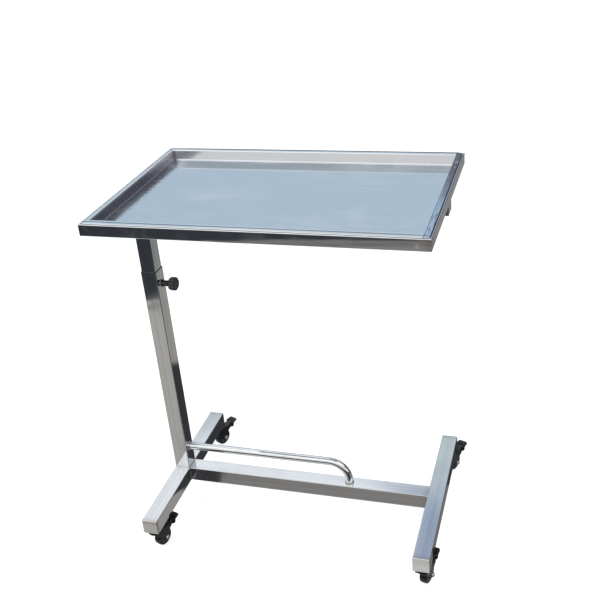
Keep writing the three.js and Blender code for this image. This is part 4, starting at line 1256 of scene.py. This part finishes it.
def skin_nut(mesh, place):
    """Hexagon nut with its corners turned off at both faces."""
    turned = NUT_FLATS - 2 * NUT_CHAMFER
    rings = []
    for along, flats in ((NUT_START, turned), (NUT_START + NUT_CHAMFER, NUT_FLATS),
                         (NUT_END - NUT_CHAMFER, NUT_FLATS), (NUT_END, turned)):
        radius = flats / math.sqrt(3)
        turns = [math.pi / 3 * k for k in range(6)]
        rings.append([place(radius * math.cos(turn), radius * math.sin(turn), along) for turn in turns])
    loft(mesh, rings)


def skin_block(mesh, space, low, high, edge=0.0006):
    """Block between two (trail, side, up) corners with rounded upright edges and eased ends."""
    middle = [(a + b) / 2 for a, b in zip(low, high)]
    size = [b - a for a, b in zip(low, high)]
    rings = []
    eased = edge / 2
    for inset, up in ((eased, low[2]), (0, low[2] + eased), (0, high[2] - eased), (eased, high[2])):
        outline = rounded_outline(size[0] - 2 * inset, size[1] - 2 * inset, edge, steps=3)
        rings.append([space(middle[0] + along, middle[1] + across, up) for along, across in outline])
    loft(mesh, rings)


def skin_pedal(mesh, space, pivot):
    """Barrel on its pin, tongue with grip ribs, releasing hump and brake shoe in one moulding."""
    on_pivot = lambda ahead, up, along: space(pivot.x + ahead, along, pivot.z + up)
    half = PEDAL_SECTIONS[0][1] / 2 + 0.0006
    barrel = [(-half, BARREL_RADIUS - 0.0006), (-half + 0.0006, BARREL_RADIUS),
              (half - 0.0006, BARREL_RADIUS), (half, BARREL_RADIUS - 0.0006)]
    skin_turned(mesh, barrel, on_pivot, sides=24)
    rings = []
    for along, width, top, bottom in PEDAL_SECTIONS:
        corner = min(0.0011, (top - bottom) * 0.42)
        outline = rounded_outline(width, top - bottom, corner, steps=4)
        middle = pivot.z + (top + bottom) / 2
        rings.append([space(along, across, middle + up) for across, up in outline])
    loft(mesh, rings)
    top = pivot.z + GRIP_RIB_TOP
    for place in GRIP_RIBS:
        low = (place - GRIP_RIB_HALF, -GRIP_RIB_REACH, top - 0.003)
        high = (place + GRIP_RIB_HALF, GRIP_RIB_REACH, top)
        skin_block(mesh, space, low, high, edge=0.0004)
    skin_turned(mesh, PEDAL_PIN, on_pivot, sides=20)


def race_profile(low, high, radius):
    """Two pressed cups with the gap that the balls run in, from (low, high) in height."""
    step = (high - low) / 6
    lower = [(low, 0.0054), (low, radius - 0.0050), (low + step, radius - 0.0026),
             (low + 2.2 * step, radius - 0.0014), (low + 2.4 * step, radius - 0.0026)]
    upper = [(low + 2.9 * step, radius - 0.0026), (low + 3.1 * step, radius - 0.0007),
             (low + 3.6 * step, radius), (high - 0.0006, radius), (high, radius - 0.0006), (high, 0.0054)]
    return lower + upper


def kingpin_profile(low, high, radius):
    """Domed head under the fork's crown, then a plain shank up into the foot."""
    head = [(low, 0.0020), (low + 0.0002, 0.0042), (low + 0.0008, 0.0062), (low + 0.0018, radius - 0.0004),
            (low + 0.0030, radius)]
    return head + [(low + 0.0030, 0.0050), (high - 0.0008, 0.0050), (high, 0.0042)]


def tyre_profile(radius):
    """Flat-sided tyre with rounded edges and a slightly crowned tread."""
    profile = [(-WHEEL_HALF + 0.0006, RIM_RADIUS + 0.0002), (-WHEEL_HALF, RIM_RADIUS + 0.0012),
               (-WHEEL_HALF, radius - 0.0042)]
    for step in range(7):
        turn = math.radians(90 * step / 6)
        along = -WHEEL_HALF + WHEEL_EDGE * (1 - math.cos(turn))
        profile.append((along, radius - TREAD_CROWN - WHEEL_EDGE * (1 - math.sin(turn))))
    profile.append((0.0, radius))
    return profile + [(-along, reach) for along, reach in profile[-2::-1]]


def skin_hub(mesh, on_axle):
    """Dished hub with ribs on both faces."""
    other_half = [(-along, radius) for along, radius in HUB_HALF[::-1]]
    skin_turned(mesh, [*HUB_HALF, *other_half], on_axle, sides=60, closed=True)
    for rib in range(RIBS):
        turn = 2 * math.pi * rib / RIBS + RIB_TURN
        out_x, out_y = math.cos(turn), math.sin(turn)
        ribbed = lambda out, side, up: on_axle(out * out_x - side * out_y, out * out_y + side * out_x, up)
        for low, high in ((-0.0079, -0.0048), (0.0048, 0.0079)):
            skin_block(mesh, ribbed, (0.0058, -0.0009, low), (0.0122, 0.0009, high))


def turned_on_swivel(node, profile_of, space, sides, closed=False):
    """Mesh of a piece turned about the swivel's axis, as tall and wide as its CAD node."""
    low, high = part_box(node)
    mesh = bmesh.new()
    skin_turned(mesh, profile_of(low.z, high.z, (high.x - low.x) / 2), space, sides=sides, closed=closed)
    return mesh


def on_axle_of(space, axle):
    """Turns (ahead, up, along the axle) from the wheel's middle into a place in the frame."""
    return lambda ahead, up, along: space(axle.x + ahead, along, axle.z + up)


for corner in CORNERS:
    caster = f"caster_{corner}"
    space, axle, pivot = caster_space(caster)
    on_axle = on_axle_of(space, axle)
    swivel_body = f"{caster}_swivel_body"
    wheel_body = f"{caster}_wheel_body"
    pedal_body = f"{caster}_pedal_body"

    race = turned_on_swivel(f"{caster}_race", race_profile, space, sides=48, closed=True)
    add_piece(f"{caster}_race_cups", race, race_enamel, "base", [f"{caster}_race"])
    pin = turned_on_swivel(f"{caster}_kingpin", kingpin_profile, space, sides=32)
    add_piece(f"{caster}_kingpin_rivet", pin, plated_zinc, "base", [f"{caster}_kingpin"])
    frame["nodes"][f"{caster}_kingpin_nut"].data.materials[0] = plated_zinc

    fork = bmesh.new()
    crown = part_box(f"{caster}_fork")[1].z - FORK_SHEET
    skin_fork(fork, space, fork_sections(axle, pivot, crown))
    add_piece(f"{caster}_fork_pressed", fork, fork_enamel, swivel_body,
              [f"{caster}_fork"])

    tyre = bmesh.new()
    skin_turned(tyre, tyre_profile(axle.z), on_axle, sides=72, closed=True)
    add_piece(f"{caster}_tyre_moulded", tyre, tyre_rubber, wheel_body, [f"{caster}_tyre"])
    hub = bmesh.new()
    skin_hub(hub, on_axle)
    add_piece(f"{caster}_hub_moulded", hub, wheel_nylon, wheel_body, [f"{caster}_hub"])

    bolt = bmesh.new()
    skin_turned(bolt, BOLT_PROFILE, on_axle, sides=32)
    add_piece(f"{caster}_axle_bolt", bolt, plated_zinc, swivel_body, [f"{caster}_axle"])
    nut = bmesh.new()
    skin_nut(nut, on_axle)
    add_piece(f"{caster}_axle_hexagon", nut, plated_zinc, swivel_body, [f"{caster}_axle_nut"])

    pedal = bmesh.new()
    skin_pedal(pedal, space, pivot)
    add_piece(f"{caster}_pedal_moulded", pedal, pedal_plastic, pedal_body,
              [f"{caster}_pedal"])
